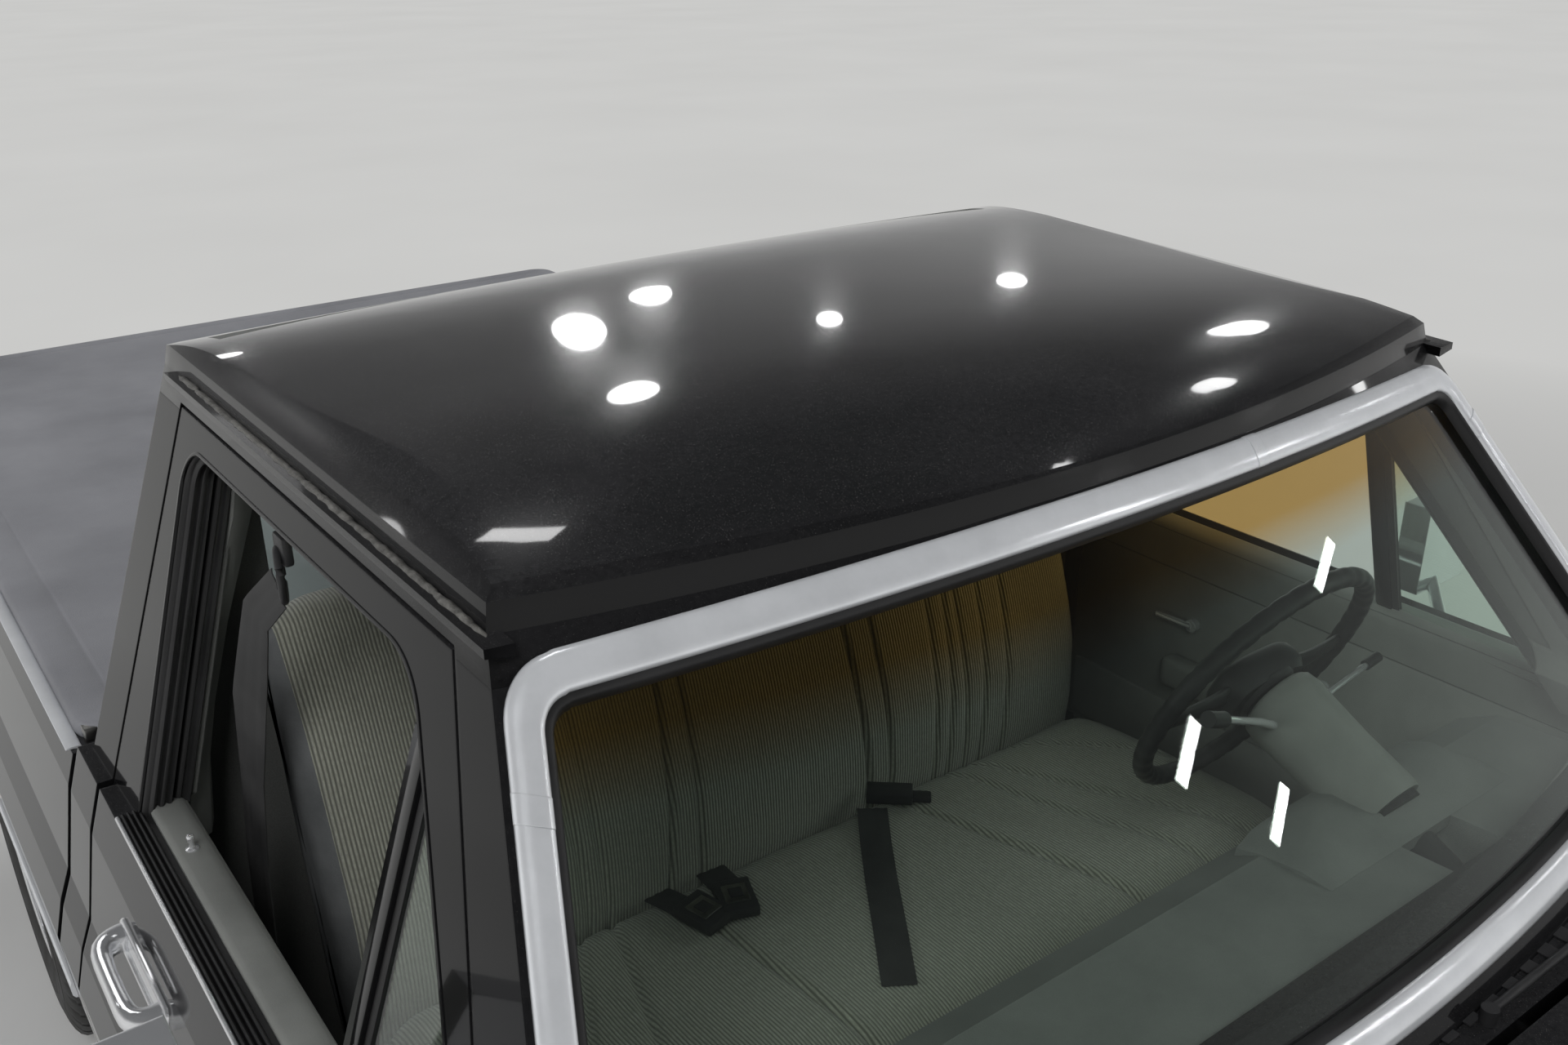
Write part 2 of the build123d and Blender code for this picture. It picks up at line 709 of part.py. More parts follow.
def cab_floor():
    """Floor pan with its tunnel, and the rocker sills under the doors."""
    front = FIREWALL_Y + FIREWALL_THICKNESS
    rear = CAB_REAR_Y - CAB_WALL
    low = FLOOR_TOP_Z - FLOOR_THICKNESS
    with BuildPart() as piece:
        block((-WALL_INNER_HALF, WALL_INNER_HALF), (front, rear), (low, FLOOR_TOP_Z))
        tunnel = [
            (-TUNNEL_HALF - 30, low),
            (-TUNNEL_HALF, TUNNEL_TOP_Z),
            (TUNNEL_HALF, TUNNEL_TOP_Z),
            (TUNNEL_HALF + 30, low),
        ]
        prism_y(tunnel, front, DOOR_FRONT_Y + 500)
        hollow = [
            (-TUNNEL_HALF, low - 5),
            (-TUNNEL_HALF + 25, TUNNEL_TOP_Z - FLOOR_THICKNESS),
            (TUNNEL_HALF - 25, TUNNEL_TOP_Z - FLOOR_THICKNESS),
            (TUNNEL_HALF, low - 5),
        ]
        prism_y(hollow, front - 5, DOOR_FRONT_Y + 460, mode=Mode.SUBTRACT)
        for _, sign in SIDES:
            top = DOOR_BOTTOM_Z - RUN_GAP
            sill = side_outline(ROCKER_Z, top, WALL_INNER_HALF - 40)
            prism_y(mirrored(sill, sign), DOOR_FRONT_Y - RUN_GAP, CAB_REAR_Y)
            under_post = ordered(sign * (WALL_INNER_HALF - 40), sign * (POST_OUTER_X + 20))
            block(under_post, (FIREWALL_Y, DOOR_FRONT_Y), (ROCKER_Z + 20, low))
    return piece


def hinge_eye(sign, height):
    """Eye for one door hinge pin, on a strap from the hinge post."""
    half = HINGE_EYE_HEIGHT / 2
    rod((sign * HINGE_X, HINGE_Y, height - half), (sign * HINGE_X, HINGE_Y, height + half), HINGE_EYE_RADIUS)
    strap = [
        (HINGE_X - 10, HINGE_Y - 12),
        (HINGE_X - 16, HINGE_Y + 2),
        (POST_OUTER_X - 10, HINGE_Y - 48),
        (POST_OUTER_X - 10, HINGE_Y - 62),
    ]
    prism_z(mirrored(strap, sign), height - half, height + half)
    rod(
        (sign * HINGE_X, HINGE_Y, height - 2 * half), (sign * HINGE_X, HINGE_Y, height + 2 * half),
        HINGE_PIN_RADIUS + PIN_GAP, mode=Mode.SUBTRACT,
    )


def hood_eye(sign):
    """Eye for one hood hinge pin, on a bracket that goes down and back to the firewall."""
    x_low, x_high = ordered(sign * (HOOD_HINGE_X - 10), sign * (HOOD_HINGE_X + 10))
    foot_high = HOOD_HINGE_Z - HOOD_BRACKET_DROP
    foot_low = foot_high - HOOD_BRACKET_DEPTH
    bracket = [
        (HOOD_HINGE_Y - 7, HOOD_HINGE_Z - 2),
        (HOOD_HINGE_Y + 7, HOOD_HINGE_Z - 2),
        (HOOD_HINGE_Y + 24, foot_high),
        (FIREWALL_Y + 4, foot_high),
        (FIREWALL_Y + 4, foot_low),
        (HOOD_HINGE_Y + 16, foot_low),
    ]
    prism_x(bracket, x_low, x_high)
    rod((x_low, HOOD_HINGE_Y, HOOD_HINGE_Z), (x_high, HOOD_HINGE_Y, HOOD_HINGE_Z), HOOD_EYE_RADIUS)
    rod(
        (x_low - 5, HOOD_HINGE_Y, HOOD_HINGE_Z), (x_high + 5, HOOD_HINGE_Y, HOOD_HINGE_Z),
        HOOD_PIN_RADIUS + PIN_GAP, mode=Mode.SUBTRACT,
    )


def firewall():
    """Firewall and the cowl box under the windshield, with the hinge posts of the doors."""
    low = FLOOR_TOP_Z - FLOOR_THICKNESS
    cowl_low = COWL_TOP_Z - COWL_DEPTH
    with BuildPart() as piece:
        across = (-WALL_INNER_HALF, WALL_INNER_HALF)
        block(across, (FIREWALL_Y, FIREWALL_Y + FIREWALL_THICKNESS), (low, cowl_low))
        block((-COWL_HALF, COWL_HALF), (HOOD_REAR_Y + COWL_FRONT_GAP, COWL_REAR_Y), (cowl_low, COWL_TOP_Z))
        for _, sign in SIDES:
            post_x = ordered(sign * POST_INNER_X, sign * POST_OUTER_X)
            block(post_x, (FIREWALL_Y, DOOR_FRONT_Y - RUN_GAP), (FLOOR_TOP_Z, POST_TOP_Z))
            for height in HINGE_HEIGHTS:
                hinge_eye(sign, height)
            hood_eye(sign)
    return piece


def door(sign):
    """Door: a thick lower panel and a window frame in one with a division bar."""
    with BuildPart() as piece:
        lower = mirrored(side_outline(DOOR_BOTTOM_Z, BELT_Z, DOOR_INNER_HALF), sign)
        prism_y(lower, DOOR_FRONT_Y, DOOR_REAR_Y)
        plan = [
            (HINGE_X + 100, DOOR_FRONT_Y),
            (HINGE_X + 100, DOOR_REAR_Y),
            (DOOR_INNER_HALF, DOOR_REAR_Y - DOOR_REAR_SLANT),
            (DOOR_INNER_HALF, DOOR_FRONT_Y + DOOR_BEVEL[1]),
            (DOOR_INNER_HALF + DOOR_BEVEL[0], DOOR_FRONT_Y),
        ]
        prism_z(mirrored(plan, sign), DOOR_BOTTOM_Z, BELT_Z, mode=Mode.INTERSECT)
        for height in HINGE_HEIGHTS:
            half = HINGE_EYE_HEIGHT / 2 + 6
            notch_x = ordered(sign * (WALL_INNER_HALF - 5), sign * (HINGE_X + HINGE_NOTCH))
            block(
                notch_x, (DOOR_FRONT_Y - 5, HINGE_Y + HINGE_NOTCH),
                (height - half, height + half), mode=Mode.SUBTRACT,
            )
            rod(
                (sign * HINGE_X, HINGE_Y, height - half - 1), (sign * HINGE_X, HINGE_Y, height + half + 1),
                HINGE_PIN_RADIUS,
            )
        with BuildPart(mode=Mode.PRIVATE) as frame:
            side_slab(
                sign, 0, DOOR_FRAME_THICKNESS, DOOR_FRONT_Y, DOOR_REAR_Y,
                BELT_Z - 40, SHELL_TOP_Z, slant=12,
            )
            prism_x(frame_outline(), *ordered(sign * 500, sign * 1000), mode=Mode.INTERSECT)
            window_cut(BELT_Z - 10, (500, 1000), sign)
            bar = (DIVISION_Y - DIVISION_WIDTH / 2, DIVISION_Y + DIVISION_WIDTH / 2)
            with BuildPart(mode=Mode.PRIVATE) as division:
                side_slab(sign, 6, 26, *bar, BELT_Z - 20, roof_edge(DIVISION_Y) - WINDOW_DROP + 10)
            add(division.part)
        add(frame.part)
    return piece


def door_swing(sign):
    """Take away the space that the door's front edge sweeps round its hinge."""
    rings = []
    for z, half in SIDE_SECTION:
        with BuildSketch(Plane.XY.offset(z)) as ring:
            with Locations((sign * HINGE_X, HINGE_Y)):
                Circle(math.hypot(half - HINGE_X, HINGE_SETBACK) + RUN_GAP)
        rings.append(ring.sketch)
    loft(rings, ruled=True, mode=Mode.SUBTRACT)


def front_fender(sign):
    """Front fender: outer skin with a wheel arch, a top deck and the apron over the wheel."""
    rear = DOOR_FRONT_Y - RUN_GAP
    deck_inner = HOOD_HALF_REAR + RUN_GAP + 2
    outer = sign * 1100
    with BuildPart() as piece:
        prism_y(mirrored(skin_outline(ROCKER_Z + 40, BELT_Z, FENDER_SKIN), sign), FENDER_FRONT_Y, rear)
        side = mirrored(side_outline(BELT_Z - 160, BELT_Z, deck_inner), sign)
        prism_y(side, FENDER_FRONT_Y, rear)
        profile = [
            (FENDER_FRONT_Y, 400),
            (FENDER_FRONT_Y, HOOD_FRONT_Z - 5),
            (HOOD_REAR_Y, HOOD_REAR_Z),
            (rear, BELT_Z),
            (rear, 400),
        ]
        prism_x(profile, *ordered(sign * 700, outer), mode=Mode.INTERSECT)
        under = [
            (FENDER_FRONT_Y - 5, 900),
            (FENDER_FRONT_Y - 5, HOOD_FRONT_Z - 50),
            (HOOD_REAR_Y, HOOD_REAR_Z - FENDER_DECK),
            (rear + 5, HOOD_REAR_Z - FENDER_DECK),
            (rear + 5, 900),
        ]
        prism_x(under, *ordered(sign * 700, sign * (BELT_HALF - FENDER_SKIN)), mode=Mode.SUBTRACT)
        rod(
            (sign * 600, FRONT_AXLE_Y, AXLE_HEIGHT), (outer, FRONT_AXLE_Y, AXLE_HEIGHT),
            ARCH_RADIUS, mode=Mode.SUBTRACT,
        )
        block(
            ordered(sign * 600, outer),
            (FRONT_AXLE_Y - ARCH_RADIUS, FRONT_AXLE_Y + ARCH_RADIUS),
            (300, AXLE_HEIGHT),
            mode=Mode.SUBTRACT,
        )
        door_swing(sign)
        apron = ordered(sign * APRON_X, sign * (WAIST_HALF - FENDER_SKIN / 2))
        block(apron, (APRON_FRONT_Y, HOOD_REAR_Y), (APRON_Z, APRON_Z + 20))
    return piece


def hood_face(y, edge, rise, thickness):
    """Cross section of the hood."""
    with BuildSketch(Plane.XZ.offset(-y)) as sketch:
        with BuildLine():
            ThreePointArc((-HOOD_HALF_REAR, edge), (0, edge + rise), (HOOD_HALF_REAR, edge))
            Polyline(
                (HOOD_HALF_REAR, edge), (HOOD_HALF_REAR, edge - thickness),
                (-HOOD_HALF_REAR, edge - thickness), (-HOOD_HALF_REAR, edge),
            )
        make_face()
    return sketch.sketch


def hood():
    """Clamshell hood, hinged at the cowl."""
    with BuildPart() as piece:
        loft([hood_face(*row) for row in HOOD_SECTIONS], ruled=True)
        for _, sign in SIDES:
            notch = ordered(sign * (HOOD_HINGE_X - 20), sign * (HOOD_HINGE_X + 20))
            block(
                notch, (HOOD_HINGE_Y - 16, HOOD_REAR_Y + 5),
                (HOOD_HINGE_Z - 36, HOOD_HINGE_Z + 12), mode=Mode.SUBTRACT,
            )
            rod(
                (notch[0] - 1, HOOD_HINGE_Y, HOOD_HINGE_Z), (notch[1] + 1, HOOD_HINGE_Y, HOOD_HINGE_Z),
                HOOD_PIN_RADIUS,
            )
    return piece


def radiator_support():
    """Radiator with its support panel across the nose."""
    with BuildPart() as piece:
        block((-SUPPORT_HALF, SUPPORT_HALF), (SUPPORT_FRONT_Y, APRON_FRONT_Y), (625, 960))
        block((-360, 360), (APRON_FRONT_Y, APRON_FRONT_Y + 65), (560, 960))
    return piece


def grille():
    """Grille shell with an egg-crate of bars and posts, and the lamp panels."""
    height = GRILLE_HIGH_Z - GRILLE_LOW_Z
    middle = (GRILLE_LOW_Z + GRILLE_HIGH_Z) / 2
    with BuildPart() as piece:
        with BuildSketch(Plane.XZ.offset(-(GRILLE_Y + GRILLE_DEPTH))) as face:
            with Locations((0, middle)):
                Rectangle(2 * GRILLE_SHELL_HALF, height)
                Rectangle(2 * GRILLE_HALF, height - 50, mode=Mode.SUBTRACT)
            with Locations((LAMP_X, LAMP_Z), (-LAMP_X, LAMP_Z)):
                Rectangle(2 * LAMP_HALF_WIDTH + 2, 2 * LAMP_HALF_HEIGHT + 2, mode=Mode.SUBTRACT)
        extrude(face.sketch, amount=GRILLE_DEPTH)
        pitch = 2 * GRILLE_HALF / (GRILLE_POSTS + 1)
        with BuildSketch(Plane.XZ.offset(-(GRILLE_Y + GRILLE_DEPTH))) as mesh:
            with Locations((0, middle)):
                with GridLocations(pitch, 1, GRILLE_POSTS, 1):
                    Rectangle(5, height - 50)
                with GridLocations(1, (height - 50) / (GRILLE_BARS + 1), 1, GRILLE_BARS):
                    Rectangle(2 * GRILLE_HALF, 5)
        extrude(mesh.sketch, amount=GRILLE_DEPTH - 12)
        for x in (-GRILLE_HALF - 40, GRILLE_HALF + 40):
            for z in (GRILLE_LOW_Z + 20, GRILLE_HIGH_Z - 60):
                block((x - 20, x + 20), (GRILLE_Y + GRILLE_DEPTH, SUPPORT_FRONT_Y), (z, z + 30))
    return piece


def headlamps():
    """Two rectangular headlamp units in the grille shell."""
    with BuildPart() as piece:
        for _, sign in SIDES:
            block(
                ordered(sign * (LAMP_X - LAMP_HALF_WIDTH), sign * (LAMP_X + LAMP_HALF_WIDTH)),
                (GRILLE_Y + 6, SUPPORT_FRONT_Y),
                (LAMP_Z - LAMP_HALF_HEIGHT, LAMP_Z + LAMP_HALF_HEIGHT),
            )
    return piece


def bumper(face_y, inward, hitch=False):
    """Pressed channel bumper with wrapped ends, frame brackets and two plate holes."""
    back = face_y + inward * BUMPER_DEPTH
    wall = 25
    with BuildPart() as piece:
        block((-BUMPER_HALF, BUMPER_HALF), ordered(face_y, back), (BUMPER_LOW_Z, BUMPER_HIGH_Z))
        for _, sign in SIDES:
            block(
                ordered(sign * (BUMPER_HALF - wall), sign * BUMPER_HALF),
                ordered(face_y, face_y + inward * BUMPER_WRAP),
                (BUMPER_LOW_Z, BUMPER_HIGH_Z),
            )
        block(
            (-BUMPER_HALF + wall, BUMPER_HALF - wall),
            ordered(face_y + inward * wall, back + inward * 5),
            (BUMPER_LOW_Z + wall, BUMPER_HIGH_Z - wall),
            mode=Mode.SUBTRACT,
        )
        for x in (-PLATE_SPACING / 2, PLATE_SPACING / 2):
            rod(
                (x, face_y - inward * 5, PLATE_HOLE_Z), (x, face_y + inward * (wall + 5), PLATE_HOLE_Z),
                PLATE_HOLE_RADIUS, mode=Mode.SUBTRACT,
            )
        for _, sign in SIDES:
            block(
                ordered(sign * (RAIL_X - 20), sign * (RAIL_X + 20)),
                ordered(face_y + inward * wall, face_y + inward * FRAME_SETBACK),
                (BUMPER_LOW_Z + 40, BUMPER_HIGH_Z - 50),
            )
        if hitch:
            ball_y = face_y + inward * BUMPER_DEPTH / 2
            rod(
                (0, ball_y, BUMPER_HIGH_Z - wall - 5), (0, ball_y, BUMPER_HIGH_Z + 5),
                HITCH_HOLE_RADIUS, mode=Mode.SUBTRACT,
            )
    return piece


def frame():
    """Ladder frame: two kicked-up rails, their cross members and the body mounts."""
    lower = [
        # place along the truck, height of the rail's underside
        (FRONT_FACE_Y + FRAME_SETBACK, FRAME_END_Z),
        (FRONT_AXLE_Y - 355, FRAME_END_Z),
        (FRONT_AXLE_Y + 395, FRAME_LOW_Z),
        (REAR_AXLE_Y - 625, FRAME_LOW_Z),
        (REAR_AXLE_Y - 315, FRAME_HIGH_Z),
        (REAR_AXLE_Y + 315, FRAME_HIGH_Z),
        (REAR_AXLE_Y + 575, FRAME_END_Z),
        (REAR_FACE_Y - FRAME_SETBACK, FRAME_END_Z),
    ]
    upper = [(y, z + RAIL_HEIGHT) for y, z in reversed(lower)]
    inner = RAIL_X - RAIL_THICKNESS / 2
    members = (
        # place along the truck, height of the underside, depth, height
        (FRONT_AXLE_Y - 475, 490, 80, 90),
        (FRONT_AXLE_Y + 465, 365, 60, 60),
        (GEARBOX_END_Y - 60, 358, 80, 22),
        (REAR_AXLE_Y - 685, 450, 60, 40),
        (REAR_AXLE_Y + 375, 510, 60, 90),
        (REAR_FACE_Y - 260, 490, 60, 90),
    )
    mounts = (
        # place along the truck, height of the rail's top, height of the floor above it
        (FIREWALL_Y + 150, FRAME_LOW_Z + RAIL_HEIGHT, FLOOR_TOP_Z - FLOOR_THICKNESS),
        (CAB_REAR_Y - 150, FRAME_LOW_Z + RAIL_HEIGHT, FLOOR_TOP_Z - FLOOR_THICKNESS),
        (BED_FRONT_Y + 162, FRAME_LOW_Z + RAIL_HEIGHT, BED_FLOOR_Z - BED_FLOOR_THICKNESS),
        (REAR_AXLE_Y, FRAME_HIGH_Z + RAIL_HEIGHT, BED_FLOOR_Z - BED_FLOOR_THICKNESS),
        (BED_REAR_Y - 150, FRAME_END_Z + RAIL_HEIGHT, BED_FLOOR_Z - BED_FLOOR_THICKNESS),
    )
    with BuildPart() as piece:
        for _, sign in SIDES:
            prism_x(lower + upper, *ordered(sign * inner, sign * (inner + RAIL_THICKNESS)))
            for y, z_low, z_high in mounts:
                rod((sign * RAIL_X, y, z_low - 1), (sign * RAIL_X, y, z_high), BODY_MOUNT_RADIUS)
        for y, z, depth, height in members:
            block((-inner - 5, inner + 5), (y - depth / 2, y + depth / 2), (z, z + height))
    return piece


def front_suspension():
    """Front cross member with upper and lower arms and the kingpins they hold."""
    low = AXLE_HEIGHT - BALL_JOINT_RISE
    high = AXLE_HEIGHT + BALL_JOINT_RISE
    inner = RAIL_X + RAIL_THICKNESS / 2
    with BuildPart() as piece:
        across = RAIL_X + 60
        block((-across, across), (FRONT_AXLE_Y - 90, FRONT_AXLE_Y + 90), (low - 10, low + 110))
        across = RAIL_X - 60
        block(
            (-across, across), (FRONT_AXLE_Y - 95, FRONT_AXLE_Y + 95), (low + 50, low + 120),
            mode=Mode.SUBTRACT,
        )
        for _, sign in SIDES:
            for z in (low, high):
                arm = [
                    (inner, -110), (KINGPIN_X - 20, -22), (KINGPIN_X + 22, -22),
                    (KINGPIN_X + 22, 22), (KINGPIN_X - 20, 22), (inner, 110),
                ]
                arm = [(sign * x, FRONT_AXLE_Y + y) for x, y in arm]
                prism_z(arm, z - 14, z + 14)
                hole = [(inner + 60, -55), (KINGPIN_X - 80, -14), (KINGPIN_X - 80, 14), (inner + 60, 55)]
                hole = [(sign * x, FRONT_AXLE_Y + y) for x, y in hole]
                prism_z(hole, z - 20, z + 20, mode=Mode.SUBTRACT)
            for z_low, z_high in ((low + 10, low + 54), (high - 54, high - 10)):
                foot = (sign * KINGPIN_X, FRONT_AXLE_Y, z_low)
                rod(foot, (sign * KINGPIN_X, FRONT_AXLE_Y, z_high), PIN_RADIUS)
    return piece


def knuckle(sign):
    """Steering knuckle: two eyes on the kingpins, an upright, a spindle and a steering arm."""
    low = AXLE_HEIGHT - BALL_JOINT_RISE
    high = AXLE_HEIGHT + BALL_JOINT_RISE
    with BuildPart() as piece:
        block(
            ordered(sign * (KINGPIN_X - 24), sign * (KINGPIN_X + 24)),
            (FRONT_AXLE_Y - 24, FRONT_AXLE_Y + 24),
            (low + 14 + PIN_GAP, high - 14 - PIN_GAP),
        )
        for z_low, z_high in ((low, low + 56), (high - 56, high)):
            rod(
                (sign * KINGPIN_X, FRONT_AXLE_Y, z_low), (sign * KINGPIN_X, FRONT_AXLE_Y, z_high),
                PIN_RADIUS + PIN_GAP, mode=Mode.SUBTRACT,
            )
        start = (sign * KINGPIN_X, FRONT_AXLE_Y, AXLE_HEIGHT)
        rod(start, (sign * (KINGPIN_X + 50), FRONT_AXLE_Y, AXLE_HEIGHT), 44)
        tip = WHEEL_CENTRE_X + RIM_DISC_OFFSET + HUB_CAP_LENGTH - 20
        rod(start, (sign * tip, FRONT_AXLE_Y, AXLE_HEIGHT), SPINDLE_RADIUS)
        block(
            ordered(sign * (KINGPIN_X - 50), sign * (KINGPIN_X - 10)),
            (FRONT_AXLE_Y, FRONT_AXLE_Y + 120),
            (AXLE_HEIGHT - 52, AXLE_HEIGHT - 27),
        )
    return piece


def rear_axle():
    """Rear axle: tubes, the differential and the spindles."""
    tip = WHEEL_CENTRE_X + RIM_DISC_OFFSET + HUB_CAP_LENGTH - 20
    half = WHEEL_CENTRE_X - TYRE_WIDTH / 2 + 40
    with BuildPart() as piece:
        rod((-half, REAR_AXLE_Y, AXLE_HEIGHT), (half, REAR_AXLE_Y, AXLE_HEIGHT), AXLE_TUBE_RADIUS)
        rod((-tip, REAR_AXLE_Y, AXLE_HEIGHT), (tip, REAR_AXLE_Y, AXLE_HEIGHT), SPINDLE_RADIUS)
        with Locations((0, REAR_AXLE_Y, AXLE_HEIGHT)):
            Sphere(125)
        rod((0, REAR_AXLE_Y - PINION_NOSE, DRIVE_Z), (0, REAR_AXLE_Y, DRIVE_Z), 52)
    return piece


def leaf_springs():
    """Two leaf springs on top of the rear axle, with their hangers on the frame."""
    base = AXLE_HEIGHT + AXLE_TUBE_RADIUS
    with BuildPart() as piece:
        for _, sign in SIDES:
            with BuildSketch(Plane.YZ.offset(sign * SPRING_X - SPRING_WIDTH / 2)) as leaf:
                with BuildLine():
                    ends = (REAR_AXLE_Y - SPRING_HALF_LENGTH, REAR_AXLE_Y + SPRING_HALF_LENGTH)
                    low = base + SPRING_CAMBER
                    high = low + SPRING_END_THICKNESS
                    ThreePointArc((ends[0], low), (REAR_AXLE_Y, base), (ends[1], low))
                    Line((ends[1], low), (ends[1], high))
                    ThreePointArc((ends[1], high), (REAR_AXLE_Y, base + SPRING_THICKNESS), (ends[0], high))
                    Line((ends[0], high), (ends[0], low))
                make_face()
            extrude(leaf.sketch, amount=SPRING_WIDTH)
            for y in ends:
                inner = RAIL_X + RAIL_THICKNESS / 2
                block(
                    ordered(sign * inner, sign * (SPRING_X + SPRING_WIDTH / 2)),
                    (y - 25, y + 25),
                    (base + SPRING_CAMBER - 12, base + SPRING_CAMBER + 60),
                )
    return piece


def engine():
    """Engine and gearbox as plain blocks at their real size."""
    with BuildPart() as piece:
        for half, y_low, y_high, z_low, z_high in ENGINE_BLOCKS:
            block((-half, half), (y_low, y_high), (z_low, z_high))
    return piece


def driveshaft():
    """Driveshaft from the gearbox to the rear axle."""
    with BuildPart() as piece:
        rod((0, GEARBOX_END_Y, DRIVE_Z + 20), (0, REAR_AXLE_Y - PINION_NOSE, DRIVE_Z + 20), 24)
    return piece


def exhaust():
    """Exhaust pipe with its muffler along the right frame rail, on three hangers."""
    x = EXHAUST_X
    with BuildPart() as piece:
        with BuildLine(mode=Mode.PRIVATE) as path:
            FilletPolyline(
                (x, *EXHAUST_FRONT),
                (x, EXHAUST_FRONT[0] + 140, EXHAUST_FRONT[1]),
                (x, EXHAUST_FRONT[0] + 390, EXHAUST_Z),
                (x, EXHAUST_REAR[0] - 90, EXHAUST_Z),
                (x, *EXHAUST_REAR),
                radius=60,
            )
        with BuildSketch(Plane(origin=(x, *EXHAUST_FRONT), z_dir=(0, 1, 0))) as pipe:
            Circle(EXHAUST_PIPE_RADIUS)
        sweep(pipe.sketch, path=path.line)
        flange = (EXHAUST_FRONT[0] + 10, EXHAUST_FRONT[0] + 70)
        block((x - 20, -ENGINE_BLOCKS[0][0]), flange, (EXHAUST_FRONT[1] - 20, EXHAUST_FRONT[1] + 20))
        muffler_z = EXHAUST_Z - 32
        rod((x, MUFFLER_YS[0], muffler_z), (x, MUFFLER_YS[1], muffler_z), MUFFLER_RADIUS)
        for y in EXHAUST_HANGER_YS:
            block((-RAIL_X + RAIL_THICKNESS / 2, x), (y - 15, y + 15), (EXHAUST_Z + 45, EXHAUST_Z + 60))
            block((x - 8, x + 8), (y - 15, y + 15), (EXHAUST_Z, EXHAUST_Z + 60))
    return piece


def fuel_tank():
    """Fuel tank outside the left frame rail, on two brackets."""
    with BuildPart() as piece:
        block(TANK_X, TANK_Y, (TANK_LOW_Z, BED_FLOOR_Z - BED_FLOOR_THICKNESS - 10))
        fillet(piece.edges().filter_by(Axis.Y), radius=TANK_RADIUS)
        strap_x = (RAIL_X + RAIL_THICKNESS / 2, TANK_X[0] + 10)
        for y in TANK_STRAP_YS:
            block(strap_x, (y - 20, y + 20), (TANK_LOW_Z + 10, TANK_LOW_Z + 40))
    return piece


def wheel_tyre(sign, y):
    """Tyre as one ring with a flat tread and round shoulders."""
    half = TYRE_WIDTH / 2
    with BuildPart() as piece:
        with BuildSketch(Plane.XZ.offset(-y)) as profile:
            with BuildLine():
                Polyline(
                    (-half + 12, RIM_RADIUS),
                    (-half, RIM_RADIUS + 60),
                    (-half + 6, TYRE_RADIUS - 40),
                    (-half + 34, TYRE_RADIUS - 4),
                    (-half + 70, TYRE_RADIUS),
                    (half - 70, TYRE_RADIUS),
                    (half - 34, TYRE_RADIUS - 4),
                    (half - 6, TYRE_RADIUS - 40),
                    (half, RIM_RADIUS + 60),
                    (half - 12, RIM_RADIUS),
                    close=True,
                )
            make_face()
        placed = profile.sketch.moved(Location((sign * WHEEL_CENTRE_X, 0, AXLE_HEIGHT)))
        revolve(placed, axis=Axis((0, y, AXLE_HEIGHT), (1, 0, 0)))
    return piece


def wheel_rim(sign, y):
    """Rim with a slotted disc and a hub on the spindle."""
    half = RIM_WIDTH / 2
    disc = RIM_DISC_OFFSET
    with BuildPart() as piece:
        with BuildSketch(Plane.XZ.offset(-y)) as profile:
            with BuildLine():
                Polyline(
                    (-half, RIM_RADIUS),
                    (-half, RIM_RADIUS - RIM_WALL),
                    (disc, RIM_RADIUS - RIM_WALL - 12),
                    (disc, SPINDLE_RADIUS + PIN_GAP),
                    (disc + HUB_CAP_LENGTH, SPINDLE_RADIUS + PIN_GAP),
                    (disc + HUB_CAP_LENGTH, HUB_CAP_RADIUS - 6),
                    (disc + RIM_DISC_THICKNESS + 8, HUB_CAP_RADIUS),
                    (disc + RIM_DISC_THICKNESS, HUB_CAP_RADIUS + 14),
                    (disc + RIM_DISC_THICKNESS, RIM_RADIUS - RIM_WALL - 10),
                    (half, RIM_RADIUS - RIM_WALL),
                    (half, RIM_RADIUS),
                    close=True,
                )
            make_face()
        placed = profile.sketch
        if sign < 0:
            placed = placed.mirror(Plane.YZ)
        placed = placed.moved(Location((sign * WHEEL_CENTRE_X, 0, AXLE_HEIGHT)))
        revolve(placed, axis=Axis((0, y, AXLE_HEIGHT), (1, 0, 0)))
        with BuildSketch(Plane.YZ.offset(sign * WHEEL_CENTRE_X)) as slots:
            with Locations((y, AXLE_HEIGHT)):
                with PolarLocations(RIM_SLOT_CIRCLE, RIM_SLOTS):
                    Circle(RIM_SLOT_RADIUS)
        extrude(slots.sketch, amount=sign * 80, mode=Mode.SUBTRACT)
    return piece


def bed_floor():
    """Bed floor with ribs, and the front wall of the bed."""
    low = BED_FLOOR_Z - BED_FLOOR_THICKNESS
    with BuildPart() as piece:
        across = (-WALL_INNER_HALF, WALL_INNER_HALF)
        block(across, (BED_FRONT_Y, BED_REAR_Y - BED_FLOOR_END_GAP), (low, BED_FLOOR_Z))
        with GridLocations(BED_RIB_PITCH, 1, BED_RIBS, 1):
            with Locations((0, (BED_FRONT_Y + BED_REAR_Y) / 2, BED_FLOOR_Z)):
                Box(BED_RIB_WIDTH, BED_REAR_Y - BED_FRONT_Y - 80, 2 * BED_RIB_HEIGHT)
        block(across, (BED_FRONT_Y, BED_FRONT_Y + BED_FRONT_WALL), (low, BED_RAIL_Z))
        for _, sign in SIDES:
            rod(
                (sign * (WHEELHOUSE_HALF - 5), REAR_AXLE_Y, AXLE_HEIGHT),
                (sign * 1000, REAR_AXLE_Y, AXLE_HEIGHT),
                ARCH_RADIUS + WHEELHOUSE_SKIN,
                mode=Mode.SUBTRACT,
            )
    return piece


